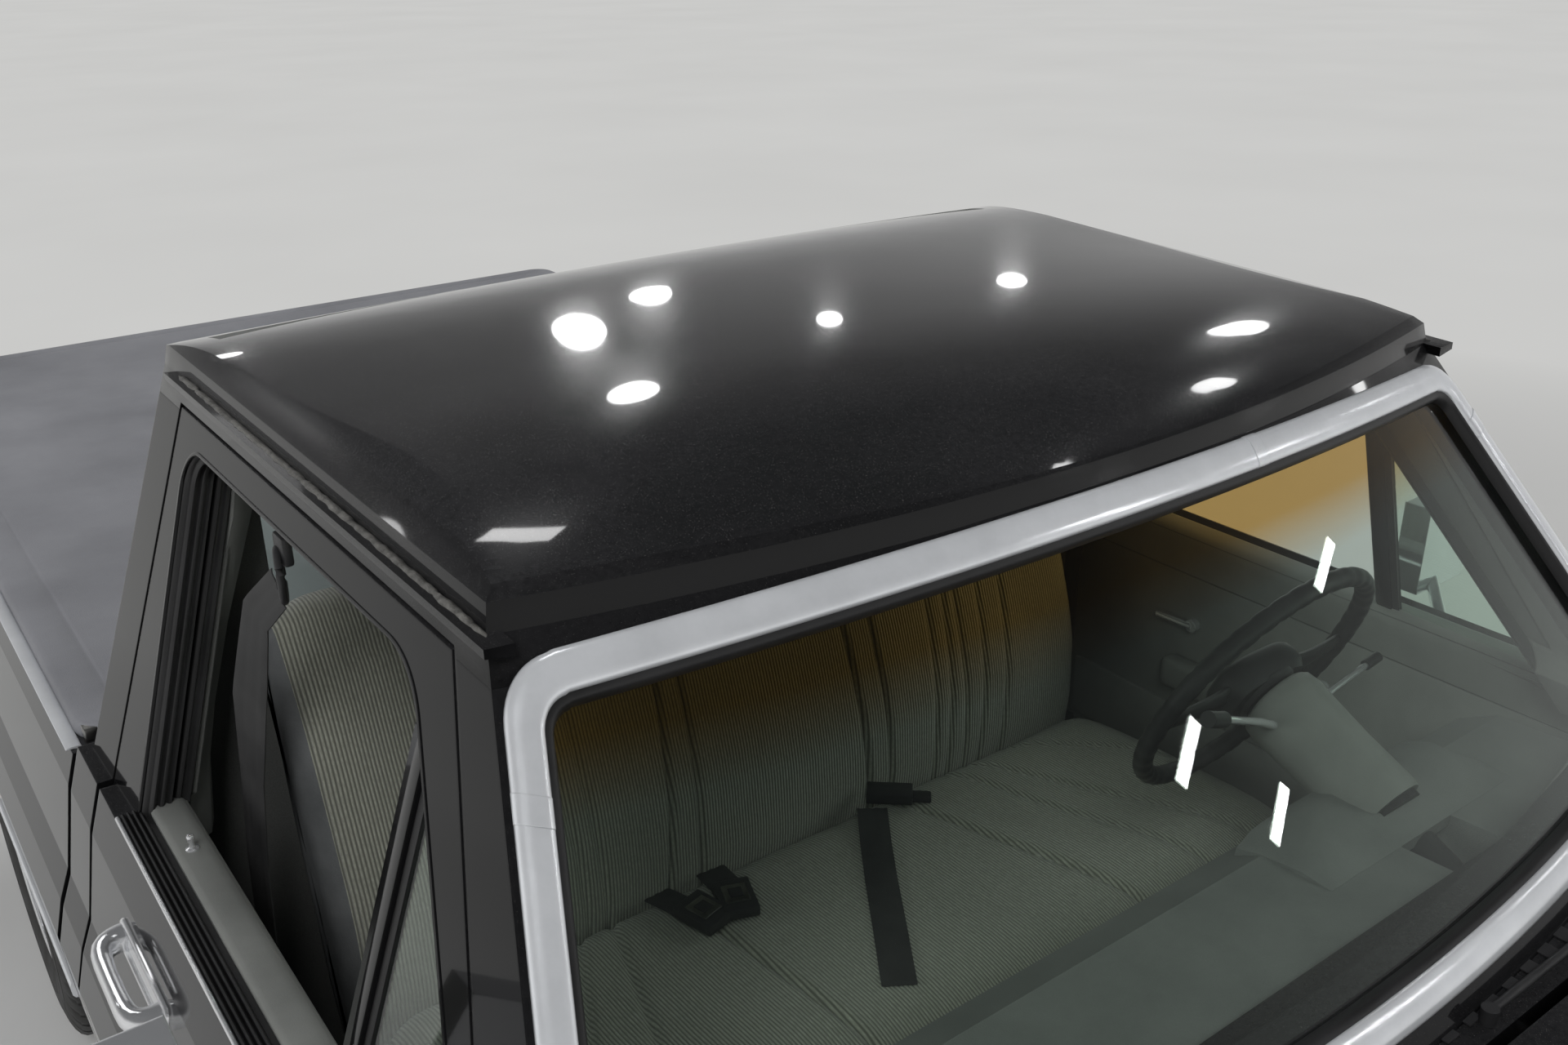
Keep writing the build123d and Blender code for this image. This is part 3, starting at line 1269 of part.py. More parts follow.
def bed_side(sign):
    """Bed side with its arch and the wheelhouse inside."""
    with BuildPart() as piece:
        section = side_outline(BED_BOTTOM_Z, BED_RAIL_Z, WALL_INNER_HALF)
        prism_y(mirrored(section, sign), BED_FRONT_Y, BED_REAR_Y)
        rod(
            (sign * WHEELHOUSE_HALF, REAR_AXLE_Y, AXLE_HEIGHT),
            (sign * (WALL_INNER_HALF + 20), REAR_AXLE_Y, AXLE_HEIGHT),
            ARCH_RADIUS + WHEELHOUSE_SKIN,
        )
        rod(
            (sign * (WHEELHOUSE_HALF + WHEELHOUSE_SKIN), REAR_AXLE_Y, AXLE_HEIGHT),
            (sign * 1100, REAR_AXLE_Y, AXLE_HEIGHT),
            ARCH_RADIUS,
            mode=Mode.SUBTRACT,
        )
        block(
            ordered(sign * 600, sign * 1100),
            (REAR_AXLE_Y - ARCH_RADIUS - 100, REAR_AXLE_Y + ARCH_RADIUS + 100),
            (-100, BED_BOTTOM_Z),
            mode=Mode.SUBTRACT,
        )
        hinge_y = BED_REAR_Y + RUN_GAP + TAILGATE_HINGE_DEPTH
        lug_x = ordered(sign * WALL_INNER_HALF, sign * (WALL_INNER_HALF + 24))
        block(lug_x, (BED_REAR_Y - 10, hinge_y + 18), (TAILGATE_HINGE_Z - 18, TAILGATE_HINGE_Z + 18))
        rod(
            (sign * (WALL_INNER_HALF + 5), hinge_y, TAILGATE_HINGE_Z),
            (sign * (WALL_INNER_HALF - TAILGATE_PIN_LENGTH), hinge_y, TAILGATE_HINGE_Z),
            TAILGATE_PIN_RADIUS,
        )
        block(
            ordered(sign * 600, sign * (WALL_INNER_HALF - 0.01)),
            (REAR_AXLE_Y - ARCH_RADIUS - 100, REAR_AXLE_Y + ARCH_RADIUS + 100),
            (-100, BED_FLOOR_Z - BED_FLOOR_THICKNESS),
            mode=Mode.SUBTRACT,
        )
    return piece


def tailgate():
    """Tailgate: a thick panel with a pressed recess."""
    y_low = BED_REAR_Y + RUN_GAP
    y_high = y_low + TAILGATE_THICKNESS
    half = WALL_INNER_HALF - RUN_GAP
    with BuildPart() as piece:
        block((-half, half), (y_low, y_high), (TAILGATE_BOTTOM_Z, BED_RAIL_Z - 2 * RUN_GAP))
        block(
            (-half + 120, half - 120), (y_high - 8, y_high + 5), (TAILGATE_BOTTOM_Z + 110, BED_RAIL_Z - 150),
            mode=Mode.SUBTRACT,
        )
        for _, sign in SIDES:
            rod(
                (sign * (half + 5), y_low + TAILGATE_HINGE_DEPTH, TAILGATE_HINGE_Z),
                (sign * (half - TAILGATE_PIN_LENGTH), y_low + TAILGATE_HINGE_DEPTH, TAILGATE_HINGE_Z),
                TAILGATE_PIN_RADIUS + PIN_GAP, mode=Mode.SUBTRACT,
            )
    return piece


def tail_lamps():
    """Upright tail lamps at the rear ends of the bed sides."""
    with BuildPart() as piece:
        for _, sign in SIDES:
            section = side_outline(*TAIL_LAMP_Z, WALL_INNER_HALF + 10)
            prism_y(mirrored(section, sign), BED_REAR_Y, BED_REAR_Y + TAIL_LAMP_DEPTH)
    return piece


def bed_cover():
    """Soft cover over the bed, stretched over a frame."""
    half = BELT_HALF - COVER_INSET
    rear = BED_REAR_Y + RUN_GAP + TAILGATE_THICKNESS
    with BuildPart() as piece:
        block(
            (-half, half), (BED_FRONT_Y + COVER_INSET, rear),
            (BED_RAIL_Z + SEAT_GAP, BED_RAIL_Z + COVER_THICKNESS),
        )
        fillet(piece.edges().group_by(Axis.Z)[-1], radius=COVER_RADIUS)
    return piece


def windshield():
    """Bowed windshield glass filling its opening."""
    depth = SCREEN_DEPTH
    with BuildPart() as piece:
        cab_block(COWL_TOP_Z, SHELL_TOP_Z, 1, depth, 1)
        cab_block(COWL_TOP_Z, SHELL_TOP_Z, -20, depth + GLASS_THICKNESS, 0, mode=Mode.SUBTRACT)
        extrude(screen_face(-1), amount=1000, mode=Mode.INTERSECT)
    return piece


def windshield_trim():
    """Bright moulding round the windshield, standing on the body."""
    with BuildPart() as piece:
        cab_block(COWL_TOP_Z, SHELL_TOP_Z, 0, -TRIM_HEIGHT, 0)
        cab_block(COWL_TOP_Z, SHELL_TOP_Z, -20, 0, -20, mode=Mode.SUBTRACT)
        extrude(screen_face(TRIM_WIDTH), amount=1000, mode=Mode.INTERSECT)
        extrude(screen_face(), amount=1000, mode=Mode.SUBTRACT)
    return piece


def rear_window():
    """Flat rear window."""
    with BuildPart() as piece:
        cab_block(COWL_TOP_Z, SHELL_TOP_Z, 1, 1, REAR_GLASS_DEPTH)
        cab_block(COWL_TOP_Z, SHELL_TOP_Z, -20, -200, REAR_GLASS_DEPTH + GLASS_THICKNESS, mode=Mode.SUBTRACT)
        extrude(rear_window_face(-1), amount=400, mode=Mode.INTERSECT)
    return piece


def vent_glass(sign):
    """Fixed triangle of glass ahead of the division bar."""
    with BuildPart() as piece:
        rear = DIVISION_Y - DIVISION_WIDTH / 2 - 1
        side_slab(sign, *VENT_GLASS_DEPTH, DOOR_FRONT_Y, rear, BELT_Z + 1, SHELL_TOP_Z)
        extrude(window_face(sign * 500, BELT_Z - 10, -1), amount=sign * 500, mode=Mode.INTERSECT)
    return piece


def dashboard():
    """Dashboard pad with its face, notched for the steering column."""
    front = COWL_REAR_Y
    side = [
        (front, 1040),
        (front, DASH_TOP_Z),
        (front + 170, DASH_TOP_Z - 10),
        (front + 225, DASH_TOP_Z - 42),
        (front + 215, 1010),
        (front + 160, 860),
        (front + 130, 850),
        (front + 120, 1000),
        (front + 60, 1040),
    ]
    reach = COLUMN_SHROUD_RADIUS + COLUMN_NOTCH_GAP
    foot = column_point(COLUMN_FOOT_REACH)
    head = column_point(0)
    with BuildPart() as piece:
        prism_x(side, -DASH_HALF, DASH_HALF)
        rod(foot, head, reach, mode=Mode.SUBTRACT)
        above = [(foot[1], foot[2]), (head[1], head[2]), (head[1], SHELL_TOP_Z), (foot[1], SHELL_TOP_Z)]
        prism_x(above, WHEEL_HUB[0] - reach, WHEEL_HUB[0] + reach, mode=Mode.SUBTRACT)
    return piece


def steering_column():
    """Steering column from the firewall to the wheel's hub."""
    foot = column_point(COLUMN_FOOT_REACH)
    middle = column_point(COLUMN_MIDDLE_REACH)
    head = column_point(COLUMN_HEAD_REACH)
    bracket = COLUMN_PIPE_RADIUS + 14
    with BuildPart() as piece:
        rod(foot, head, COLUMN_PIPE_RADIUS)
        rod(middle, head, COLUMN_SHROUD_RADIUS)
        rod(middle, WHEEL_HUB, COLUMN_SHAFT_RADIUS)
        block(
            (foot[0] - bracket, foot[0] + bracket),
            (FIREWALL_Y + FIREWALL_THICKNESS, foot[1] + 20),
            (foot[2] - bracket, foot[2] + bracket),
        )
    return piece


def steering_wheel():
    """Steering wheel with two spokes and a padded hub."""
    foot = Vector(*column_point(COLUMN_FOOT_REACH))
    tilt = Plane(origin=WHEEL_HUB, x_dir=(1, 0, 0), z_dir=Vector(*WHEEL_HUB) - foot)
    with BuildPart(tilt) as piece:
        Torus(STEERING_RADIUS, STEERING_GRIP)
        Cylinder(STEERING_HUB_RADIUS, STEERING_HUB_LENGTH)
        Box(2 * (STEERING_RADIUS - 5), 40, STEERING_GRIP)
    with piece:
        middle = column_point(COLUMN_MIDDLE_REACH)
        rod(middle, column_point(-0.01), COLUMN_SHAFT_RADIUS + PIN_GAP, mode=Mode.SUBTRACT)
    return piece


def seat_cushion():
    """Bench seat cushion."""
    side = [
        (SEAT_FRONT_Y, SEAT_BOTTOM_Z),
        (SEAT_FRONT_Y, SEAT_CREASE_Z - 15),
        (SEAT_FRONT_Y + 40, SEAT_CREASE_Z + 22),
        (SEAT_CREASE_Y, SEAT_CREASE_Z),
        (SEAT_CREASE_Y + 20, SEAT_BOTTOM_Z),
    ]
    with BuildPart() as piece:
        prism_x(side, -SEAT_HALF, SEAT_HALF)
        fillet(piece.edges().filter_by(Axis.Z).group_by(Axis.Y)[0], radius=SEAT_CORNER_RADIUS)
    return piece


def seat_back():
    """Bench seat back, leaning on the cab's rear wall."""
    side = [
        (SEAT_CREASE_Y + SEAT_GAP, SEAT_CREASE_Z),
        (SEAT_CREASE_Y + 5, SEAT_CREASE_Z + 90),
        (SEAT_BACK_TOP_Y - 35, SEAT_TOP_Z - 30),
        (SEAT_BACK_TOP_Y, SEAT_TOP_Z),
        (SEAT_BACK_TOP_Y + 55, SEAT_TOP_Z - 10),
        (SEAT_BACK_TOP_Y + 75, SEAT_TOP_Z - 70),
        (SEAT_CREASE_Y + 175, SEAT_BOTTOM_Z),
        (SEAT_CREASE_Y + 20 + SEAT_GAP, SEAT_BOTTOM_Z),
    ]
    with BuildPart() as piece:
        prism_x(side, -SEAT_HALF, SEAT_HALF)
    return piece


def seat_base():
    """Steel riser under the bench seat."""
    half = SEAT_HALF - 50
    front = SEAT_FRONT_Y + 35
    rear = SEAT_CREASE_Y + 170
    with BuildPart() as piece:
        block((-half, half), (front, rear), (FLOOR_TOP_Z, SEAT_BOTTOM_Z - SEAT_GAP))
        inner = half - 40
        block((-inner, inner), (front - 5, rear - 40), (FLOOR_TOP_Z + 30, 660), mode=Mode.SUBTRACT)
        inner = TUNNEL_HALF + 45
        tunnel = (FLOOR_TOP_Z - 5, TUNNEL_TOP_Z + 5)
        block((-inner, inner), (front - 5, rear + 5), tunnel, mode=Mode.SUBTRACT)
    return piece


def door_skin_cut(sign):
    """Take away what would lie inside the door's skin."""
    section = mirrored(side_outline(DOOR_BOTTOM_Z, BELT_Z, WALL_INNER_HALF), sign)
    prism_y(section, DOOR_FRONT_Y, DOOR_REAR_Y, mode=Mode.SUBTRACT)


def mirror(sign):
    """Outside mirror on an arm from the door's shoulder."""
    x = skin_half(MIRROR_FOOT_Z)
    y = MIRROR_FOOT_Y
    z = MIRROR_FOOT_Z
    head_middle = (sum(MIRROR_HEAD_X) / 2, sum(MIRROR_HEAD_Y) / 2, sum(MIRROR_HEAD_Z) / 2)
    with BuildPart() as piece:
        block(ordered(sign * (x - 25), sign * (x + 22)), (y - 35, y + 35), (z - 25, z + 25))
        rod(
            (sign * (x + 12), y, z), (sign * head_middle[0], head_middle[1], MIRROR_HEAD_Z[0] + 25),
            MIRROR_ARM_RADIUS,
        )
        door_skin_cut(sign)
        block(ordered(sign * MIRROR_HEAD_X[0], sign * MIRROR_HEAD_X[1]), MIRROR_HEAD_Y, MIRROR_HEAD_Z)
    return piece


def door_handle(sign):
    """Pull handle: a bar on two feet with room for fingers behind it."""
    base = skin_half(HANDLE_Z)
    z_range = (HANDLE_Z - HANDLE_HEIGHT / 2, HANDLE_Z + HANDLE_HEIGHT / 2)
    with BuildPart() as piece:
        for y in HANDLE_YS:
            foot_x = ordered(sign * (base - 20), sign * (base + HANDLE_REACH - 5))
            block(foot_x, (y - 14, y + 14), z_range)
        door_skin_cut(sign)
        bar_x = ordered(sign * (base + HANDLE_REACH - HANDLE_BAR), sign * (base + HANDLE_REACH))
        block(bar_x, (HANDLE_YS[0] - 14, HANDLE_YS[1] + 14), z_range)
    return piece


def wheel_lips():
    """Bright mouldings round the four wheel arches, on the skin and just inside the arch."""
    outer_skin = side_outline(LIP_LOW_Z, WAIST_Z, 0)[1:-1]
    with BuildPart() as piece:
        for _, sign in SIDES:
            for y in (FRONT_AXLE_Y, REAR_AXLE_Y):
                rows = (
                    # inner and outer radius, depth under the skin, height over it
                    (ARCH_RADIUS, ARCH_RADIUS + LIP_WIDTH, 0, LIP_HEIGHT),
                    (ARCH_RADIUS - LIP_HEIGHT, ARCH_RADIUS, FENDER_SKIN, LIP_HEIGHT),
                )
                for inner, outer, depth, rise in rows:
                    with BuildPart(mode=Mode.PRIVATE) as arc:
                        strip = [(x + rise, z) for x, z in outer_skin]
                        strip += [(x - depth, z) for x, z in reversed(outer_skin)]
                        prism_y(mirrored(strip, sign), y - outer - 1, y + outer + 1)
                        with BuildPart(mode=Mode.PRIVATE) as ring:
                            near = (sign * WALL_INNER_HALF, y, AXLE_HEIGHT)
                            far = (sign * (WAIST_HALF + 50), y, AXLE_HEIGHT)
                            rod(near, far, outer)
                            rod(near, far, inner, mode=Mode.SUBTRACT)
                        add(ring.part, mode=Mode.INTERSECT)
                    add(arc.part)
    return piece


def wipers():
    """Two wiper arms parked at the base of the windshield."""
    with BuildPart() as piece:
        for x in WIPER_XS:
            rod((x, WIPER_Y, COWL_TOP_Z), (x, WIPER_Y, COWL_TOP_Z + 18), 9)
            rod((x, WIPER_Y, COWL_TOP_Z + 13), (x + WIPER_LENGTH, WIPER_Y, COWL_TOP_Z + 13), 5)
    return piece


save(cab_roof(), "cab_roof")
save(windshield_pillars(), "windshield_pillars")
save(cab_back(), "cab_back")
save(cab_floor(), "cab_floor")
save(firewall(), "firewall")
save(windshield(), "windshield")
save(windshield_trim(), "windshield_trim")
save(rear_window(), "rear_window")
save(dashboard(), "dashboard")
save(steering_column(), "steering_column")
save(steering_wheel(), "steering_wheel")
save(seat_base(), "seat_base")
save(seat_cushion(), "seat_cushion")
save(seat_back(), "seat_back")
save(hood(), "hood")
save(radiator_support(), "radiator_support")
save(grille(), "grille")
save(headlamps(), "headlamps")
save(bumper(FRONT_FACE_Y, 1), "front_bumper")
save(bumper(REAR_FACE_Y, -1, hitch=True), "rear_bumper")
save(frame(), "frame")
save(front_suspension(), "front_suspension")
save(rear_axle(), "rear_axle")
save(leaf_springs(), "leaf_springs")
save(engine(), "engine")
save(driveshaft(), "driveshaft")
save(exhaust(), "exhaust")
save(fuel_tank(), "fuel_tank")
save(bed_floor(), "bed_floor")
save(tailgate(), "tailgate")
save(tail_lamps(), "tail_lamps")
save(bed_cover(), "bed_cover")
save(wheel_lips(), "wheel_lips")
save(wipers(), "wipers")
for name, sign in SIDES:
    save(door(sign), f"door_{name}")
    save(vent_glass(sign), f"vent_glass_{name}")
    save(mirror(sign), f"mirror_{name}")
    save(door_handle(sign), f"door_handle_{name}")
    save(front_fender(sign), f"fender_{name}")
    save(bed_side(sign), f"bed_side_{name}")
    save(knuckle(sign), f"knuckle_{name}")
    for end, y in (("front", FRONT_AXLE_Y), ("rear", REAR_AXLE_Y)):
        save(wheel_tyre(sign, y), f"tyre_{end}_{name}")
        save(wheel_rim(sign, y), f"rim_{end}_{name}")
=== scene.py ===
"""Looks of a black regular-cab pickup truck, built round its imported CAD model."""

import json
import math

import bmesh
import bpy
import numpy as np
from mathutils import Matrix, Vector, noise


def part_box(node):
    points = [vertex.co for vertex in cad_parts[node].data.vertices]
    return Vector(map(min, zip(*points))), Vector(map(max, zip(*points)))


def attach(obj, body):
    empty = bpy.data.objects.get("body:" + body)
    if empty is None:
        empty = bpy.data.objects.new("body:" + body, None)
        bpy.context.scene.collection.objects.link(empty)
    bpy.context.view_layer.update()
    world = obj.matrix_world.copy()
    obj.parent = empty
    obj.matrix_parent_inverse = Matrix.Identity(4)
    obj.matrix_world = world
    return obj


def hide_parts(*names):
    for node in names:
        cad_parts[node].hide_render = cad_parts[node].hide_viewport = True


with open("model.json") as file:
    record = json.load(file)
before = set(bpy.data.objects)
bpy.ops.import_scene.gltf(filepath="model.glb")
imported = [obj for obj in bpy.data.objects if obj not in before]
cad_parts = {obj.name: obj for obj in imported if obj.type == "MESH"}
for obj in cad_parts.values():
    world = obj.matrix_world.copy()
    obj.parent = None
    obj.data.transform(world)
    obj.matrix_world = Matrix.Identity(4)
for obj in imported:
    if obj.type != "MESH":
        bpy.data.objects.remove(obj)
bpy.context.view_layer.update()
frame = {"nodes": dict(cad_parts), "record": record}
NODES = frame["nodes"]
scene = bpy.context.scene
SIDES = (("left", 1), ("right", -1))
TURN = 2 * math.pi

# Main lines of the cab, in metres, as in the CAD source
BELT = 1.186
SIDE_HALF, SIDE_TAPER, SIDE_LEAN = 0.868, 0.035, 0.353
EDGE_Z, EDGE_RISE = 1.659, 0.032
SCREEN_TOP_Y, SCREEN_RAKE = -0.627, 0.752
SCREEN_LOW, SCREEN_CORNER, SCREEN_CROWN = 1.215, 1.611, 1.627
BOW_FOOT, BOW_LOW, BOW_TOP = 1.175, 0.104, 0.079
SECTION_Z = (0.430, 0.600, 0.780, 0.900, 0.955, 1.000, 1.125, 1.186)
SECTION_HALF = (0.922, 0.945, 0.964, 0.971, 0.956, 0.938, 0.913, 0.893)


def side(y, z):
    """Half width of the cab's side above the belt."""
    return SIDE_HALF + SIDE_TAPER * y - SIDE_LEAN * (z - BELT)


def pillar_y(z):
    """Place of the line of the windshield pillars."""
    return SCREEN_TOP_Y - SCREEN_RAKE * (EDGE_Z - z)


def screen(x, z):
    """Place of the windshield's surface, bowed forward in the middle."""
    front = pillar_y(z)
    bow = BOW_LOW + (z - BOW_FOOT) / (EDGE_Z - BOW_FOOT) * (BOW_TOP - BOW_LOW)
    return front - bow * (1 - (x / side(front, z)) ** 2)


def roof_edge(y):
    """Height of the roof's side edge."""
    return EDGE_Z + EDGE_RISE * (y - SCREEN_TOP_Y)


def skin(z):
    """Half width of the body's outer skin."""
    return float(np.interp(z, SECTION_Z, SECTION_HALF))


def mm(*rows):
    """Rows of millimetres as rows of metres."""
    return [tuple(value / 1000 for value in row) for row in rows]


# ---------- materials

class Net:
    """Short calls for shader nodes."""

    def __init__(self, tree):
        self.tree = tree

    def put(self, socket, value):
        """A link, a colour, a grey or a plain value into an input."""
        if isinstance(value, bpy.types.NodeSocket):
            self.tree.links.new(value, socket)
        elif socket.type == "RGBA":
            socket.default_value = (*(value if isinstance(value, tuple) else (value,) * 3), 1.0)
        else:
            socket.default_value = value

    def add(self, kind, inputs=(), **settings):
        node = self.tree.nodes.new("ShaderNode" + kind)
        for key, value in settings.items():
            setattr(node, key, value)
        for key, value in dict(inputs).items():
            self.put(node.inputs[key], value)
        return node

    def shade(self, colour, rough, normal=None, **more):
        """Inputs of the surface shader; further ones by name, with _ for a space."""
        shader = self.tree.nodes["Principled BSDF"]
        inputs = {"Base Color": colour, "Roughness": rough, "Normal": normal}
        inputs.update((key.replace("_", " "), value) for key, value in more.items())
        for key, value in inputs.items():
            if value is not None:
                self.put(shader.inputs[key], value)

    def geometry(self, name="Position"):
        return self.add("NewGeometry").outputs[name]

    def split(self, vector):
        return self.add("SeparateXYZ", {0: vector}).outputs

    def noise(self, scale, detail=4.0, rough=0.55, stretch=None):
        place = self.geometry()
        if stretch:
            place = self.add("Mapping", {"Scale": stretch, "Vector": place}).outputs[0]
        inputs = {"Scale": scale, "Detail": detail, "Roughness": rough, "Vector": place}
        return self.add("TexNoise", inputs).outputs["Fac"]

    def cloud(self, scale, detail, rough, low=0.3, high=0.7, *ends):
        """Noise with its middle range spread out."""
        return self.span(self.noise(scale, detail, rough), low, high, *ends)

    def math(self, operation, *values):
        return self.add("Math", enumerate(values), operation=operation).outputs[0]

    def mul(self, a, b):
        return self.math("MULTIPLY", a, b)

    def plus(self, a, b):
        return self.math("ADD", a, b)

    def minus(self, a, b):
        return self.math("SUBTRACT", a, b)

    def over(self, a, b):
        return self.math("GREATER_THAN", a, b)

    def under(self, a, b):
        return self.math("LESS_THAN", a, b)

    def span(self, value, low, high, to_low=0.0, to_high=1.0):
        """A range mapped to another and held at its ends."""
        names = ("Value", "From Min", "From Max", "To Min", "To Max")
        return self.add("MapRange", zip(names, (value, low, high, to_low, to_high))).outputs[0]

    def mix(self, share, a, b):
        """Mix of two colours."""
        return self.add("Mix", {0: share, 6: a, 7: b}, data_type="RGBA").outputs[2]

    def blend(self, share, a, b):
        """Mix of two numbers."""
        return self.add("Mix", {0: share, 2: a, 3: b}, data_type="FLOAT").outputs[0]

    def bump(self, height, strength, distance, radius=None):
        """Relief, on edges rounded by a radius if one is given."""
        inputs = {"Strength": strength, "Distance": distance, "Height": height}
        if radius:
            inputs["Normal"] = self.add("Bevel", {"Radius": radius}, samples=4).outputs[0]
        return self.add("Bump", inputs).outputs[0]


def new_material(name):
    """A node material and the short calls for it."""
    m = bpy.data.materials.new(name)
    m.use_nodes = True
    return m, Net(m.node_tree)


def paint_material(name, inside=None, soft=0.004, gloss=0.62):
    """Black paint under clear coat with haze and dust; the cab's inner faces are grey."""
    m, n = new_material(name)
    up = n.span(n.split(n.geometry("Normal"))[2], 0.35, 0.98)  # dust lies on level faces
    haze = n.mul(up, n.cloud(2.2, 5, 0.6, 0.3, 0.75, 0.25, 1.0))
    haze = n.mul(haze, n.cloud(160, 3, 0.6, 0.3, 0.7, 0.6, 1.2))
    specks = n.mul(n.cloud(900, 2, 0.5, 0.66, 0.74), up)
    colour = n.mix(n.mul(haze, 0.30), (0.0055, 0.0055, 0.006), (0.075, 0.075, 0.078))
    colour = n.mix(n.mul(specks, 0.5), colour, (0.22, 0.21, 0.2))
    rough = n.blend(haze, 0.09, 0.24)
    coat = gloss
    if inside:
        # Grey where a face lies deeper than the outer skin, behind the screen, ahead of the
        # rear wall's outer face and under the roof
        x, y, z = n.split(n.geometry())
        across = n.math("ABSOLUTE", x)
        plane = n.minus(n.plus(n.mul(y, SIDE_TAPER), SIDE_HALF), n.mul(n.minus(z, BELT), SIDE_LEAN))
        above_belt = n.over(n.minus(plane, across), 0.0405 if inside == "shell" else 0.036)
        below_belt = n.under(across, 0.8135 if inside == "door" else 0.808)
        deep = n.blend(n.under(z, BELT), above_belt, below_belt)
        front = n.plus(n.mul(n.minus(EDGE_Z, z), -SCREEN_RAKE), SCREEN_TOP_Y)
        share = n.mul(across, 1.25)
        bowed = n.mul(n.minus(1.0, n.mul(share, share)), 0.09)
        behind = n.over(y, n.minus(n.plus(front, 0.046), bowed))
        ahead = n.under(y, 0.222)
        low = n.under(z, n.plus(n.mul(y, EDGE_RISE), 1.715))
        mask = n.mul(n.mul(deep, behind), n.mul(ahead, low))
        grain = n.cloud(700, 3, 0.6)
        colour = n.mix(mask, colour, n.mix(grain, (0.11, 0.113, 0.108), (0.15, 0.154, 0.147)))
        rough = n.blend(mask, rough, 0.55)
        coat = n.blend(mask, gloss, 0.0)
    n.shade(colour, rough, n.bump(n.noise(38, 2, 0.5), 0.06, 0.0006, soft),
            Coat_Weight=coat, Coat_Roughness=0.035, Coat_IOR=1.38, Specular_IOR_Level=0.08)
    return m


def metal_material(name, colour, low, high, shade=0.72, scale=60, bump=0.08, radius=0.002,
                   metal=1.0):
    """Metal whose gloss and tint vary over the surface."""
    m, n = new_material(name)
    fine = n.noise(scale * 14, 3, 0.6)
    cloud = n.cloud(scale, 5, 0.65, 0.35, 0.7)
    n.shade(n.mix(cloud, colour, tuple(c * shade for c in colour)),
            n.blend(n.span(fine, 0.25, 0.75), low, high), n.bump(fine, bump, 0.0004, radius), Metallic=metal)
    return m


def plain_material(name, dark, light, rough, grain=500, strength=0.25, distance=0.0006, cloud_scale=12,
                   radius=None, sheen=0.0):
    """Plastic, rubber, paint or leather: two tones, a grain and uneven gloss."""
    m, n = new_material(name)
    cloud = n.cloud(cloud_scale, 5, 0.6)
    fine = n.noise(grain, 4, 0.6)
    share = n.plus(n.mul(cloud, 0.65), n.mul(fine, 0.35))
    n.shade(n.mix(share, dark, light), n.blend(cloud, rough - 0.06, rough + 0.08),
            n.bump(fine, strength, distance, radius), Sheen_Weight=sheen, Sheen_Roughness=0.5)
    return m


def glass_material(name, tint, band=False):
    """Tinted safety glass; the windshield has a brown shade band along its top."""
    m, n = new_material(name)
    if band:
        height = n.plus(n.split(n.geometry())[2], n.mul(n.noise(3.0, 2, 0.5), 0.012))
        colour = n.mix(n.mul(n.span(height, 1.528, 1.578), 0.92), tint, (0.72, 0.45, 0.11))
    else:
        smudge = n.cloud(9, 3, 0.5)
        colour = n.mix(smudge, tint, tuple(c * 0.96 for c in tint))
    shadow = n.add("LightPath").outputs["Is Shadow Ray"]
    film = n.cloud(14, 4, 0.6, 0.45, 0.8, 0.0, 0.03)
    n.shade(colour, film, Alpha=n.minus(1.0, n.mul(shadow, 0.92)), Transmission_Weight=1.0, IOR=1.45)
    return m


def cloth_material(name):
    """Ribbed grey green seat cloth, with painted shade in the grooves between the ribs."""
    m, n = new_material(name)
    across = n.plus(n.split(n.geometry())[0], n.mul(n.noise(7, 2, 0.5), 0.004))
    rib = n.span(n.math("SINE", n.mul(across, TURN / 0.0052)), -1.0, 1.0)
    thread = n.span(n.noise(420, 3, 0.6, stretch=(1.0, 0.35, 0.35)), 0.3, 0.7)
    fleck = n.noise(1500, 2, 0.7)
    worn = n.mul(n.cloud(5, 4, 0.6, 0.35, 0.7), 0.3)
    top = n.mix(worn, n.mix(thread, (0.205, 0.213, 0.172), (0.350, 0.360, 0.300)), (0.36, 0.365, 0.31))
    # Much darker tone where the ribs' bump sinks: painted shade in the grooves, with flecks of thread colour
    # in it
    low = n.mix(n.span(fleck, 0.3, 0.7), (0.076, 0.079, 0.063), (0.130, 0.134, 0.108))
    n.shade(n.mix(n.span(rib, 0.15, 0.75), low, top), 0.92,
            n.bump(n.plus(rib, n.mul(fleck, 0.35)), 0.9, 0.0016), Sheen_Weight=0.35, Sheen_Roughness=0.6)
    return m


def vinyl_material(name):
    """Matte dark grey vinyl of the bed cover: fine leather grain and dust."""
    m, n = new_material(name)
    grain = n.add("TexVoronoi", {"Scale": 520, "Vector": n.geometry()}, feature="F1").outputs["Distance"]
    fine = n.noise(900, 3, 0.6)
    cloud = n.noise(3.5, 5, 0.6)
    tone = n.mix(n.span(cloud, 0.3, 0.72), (0.168, 0.171, 0.187), (0.270, 0.273, 0.294))
    tone = n.mix(n.mul(n.span(fine, 0.4, 0.8), 0.35), tone, (0.32, 0.32, 0.335))
    n.shade(tone, n.blend(n.span(cloud, 0.3, 0.7), 0.52, 0.66),
            n.bump(n.plus(grain, n.mul(fine, 0.4)), 0.35, 0.0006))
    return m


def lens_material(name, colour, clear=0.0):
    """Moulded lamp lens with flutes."""
    m, n = new_material(name)
    x, _, z = n.split(n.geometry())
    flutes = n.plus(n.math("SINE", n.mul(x, TURN / 0.009)), n.math("SINE", n.mul(z, TURN / 0.013)))
    mottle = n.cloud(40, 3, 0.5)
    n.shade(n.mix(mottle, colour, tuple(c * 0.8 for c in colour)), 0.12, n.bump(flutes, 0.5, 0.0012),
            Coat_Weight=0.8, Transmission_Weight=clear)
    return m


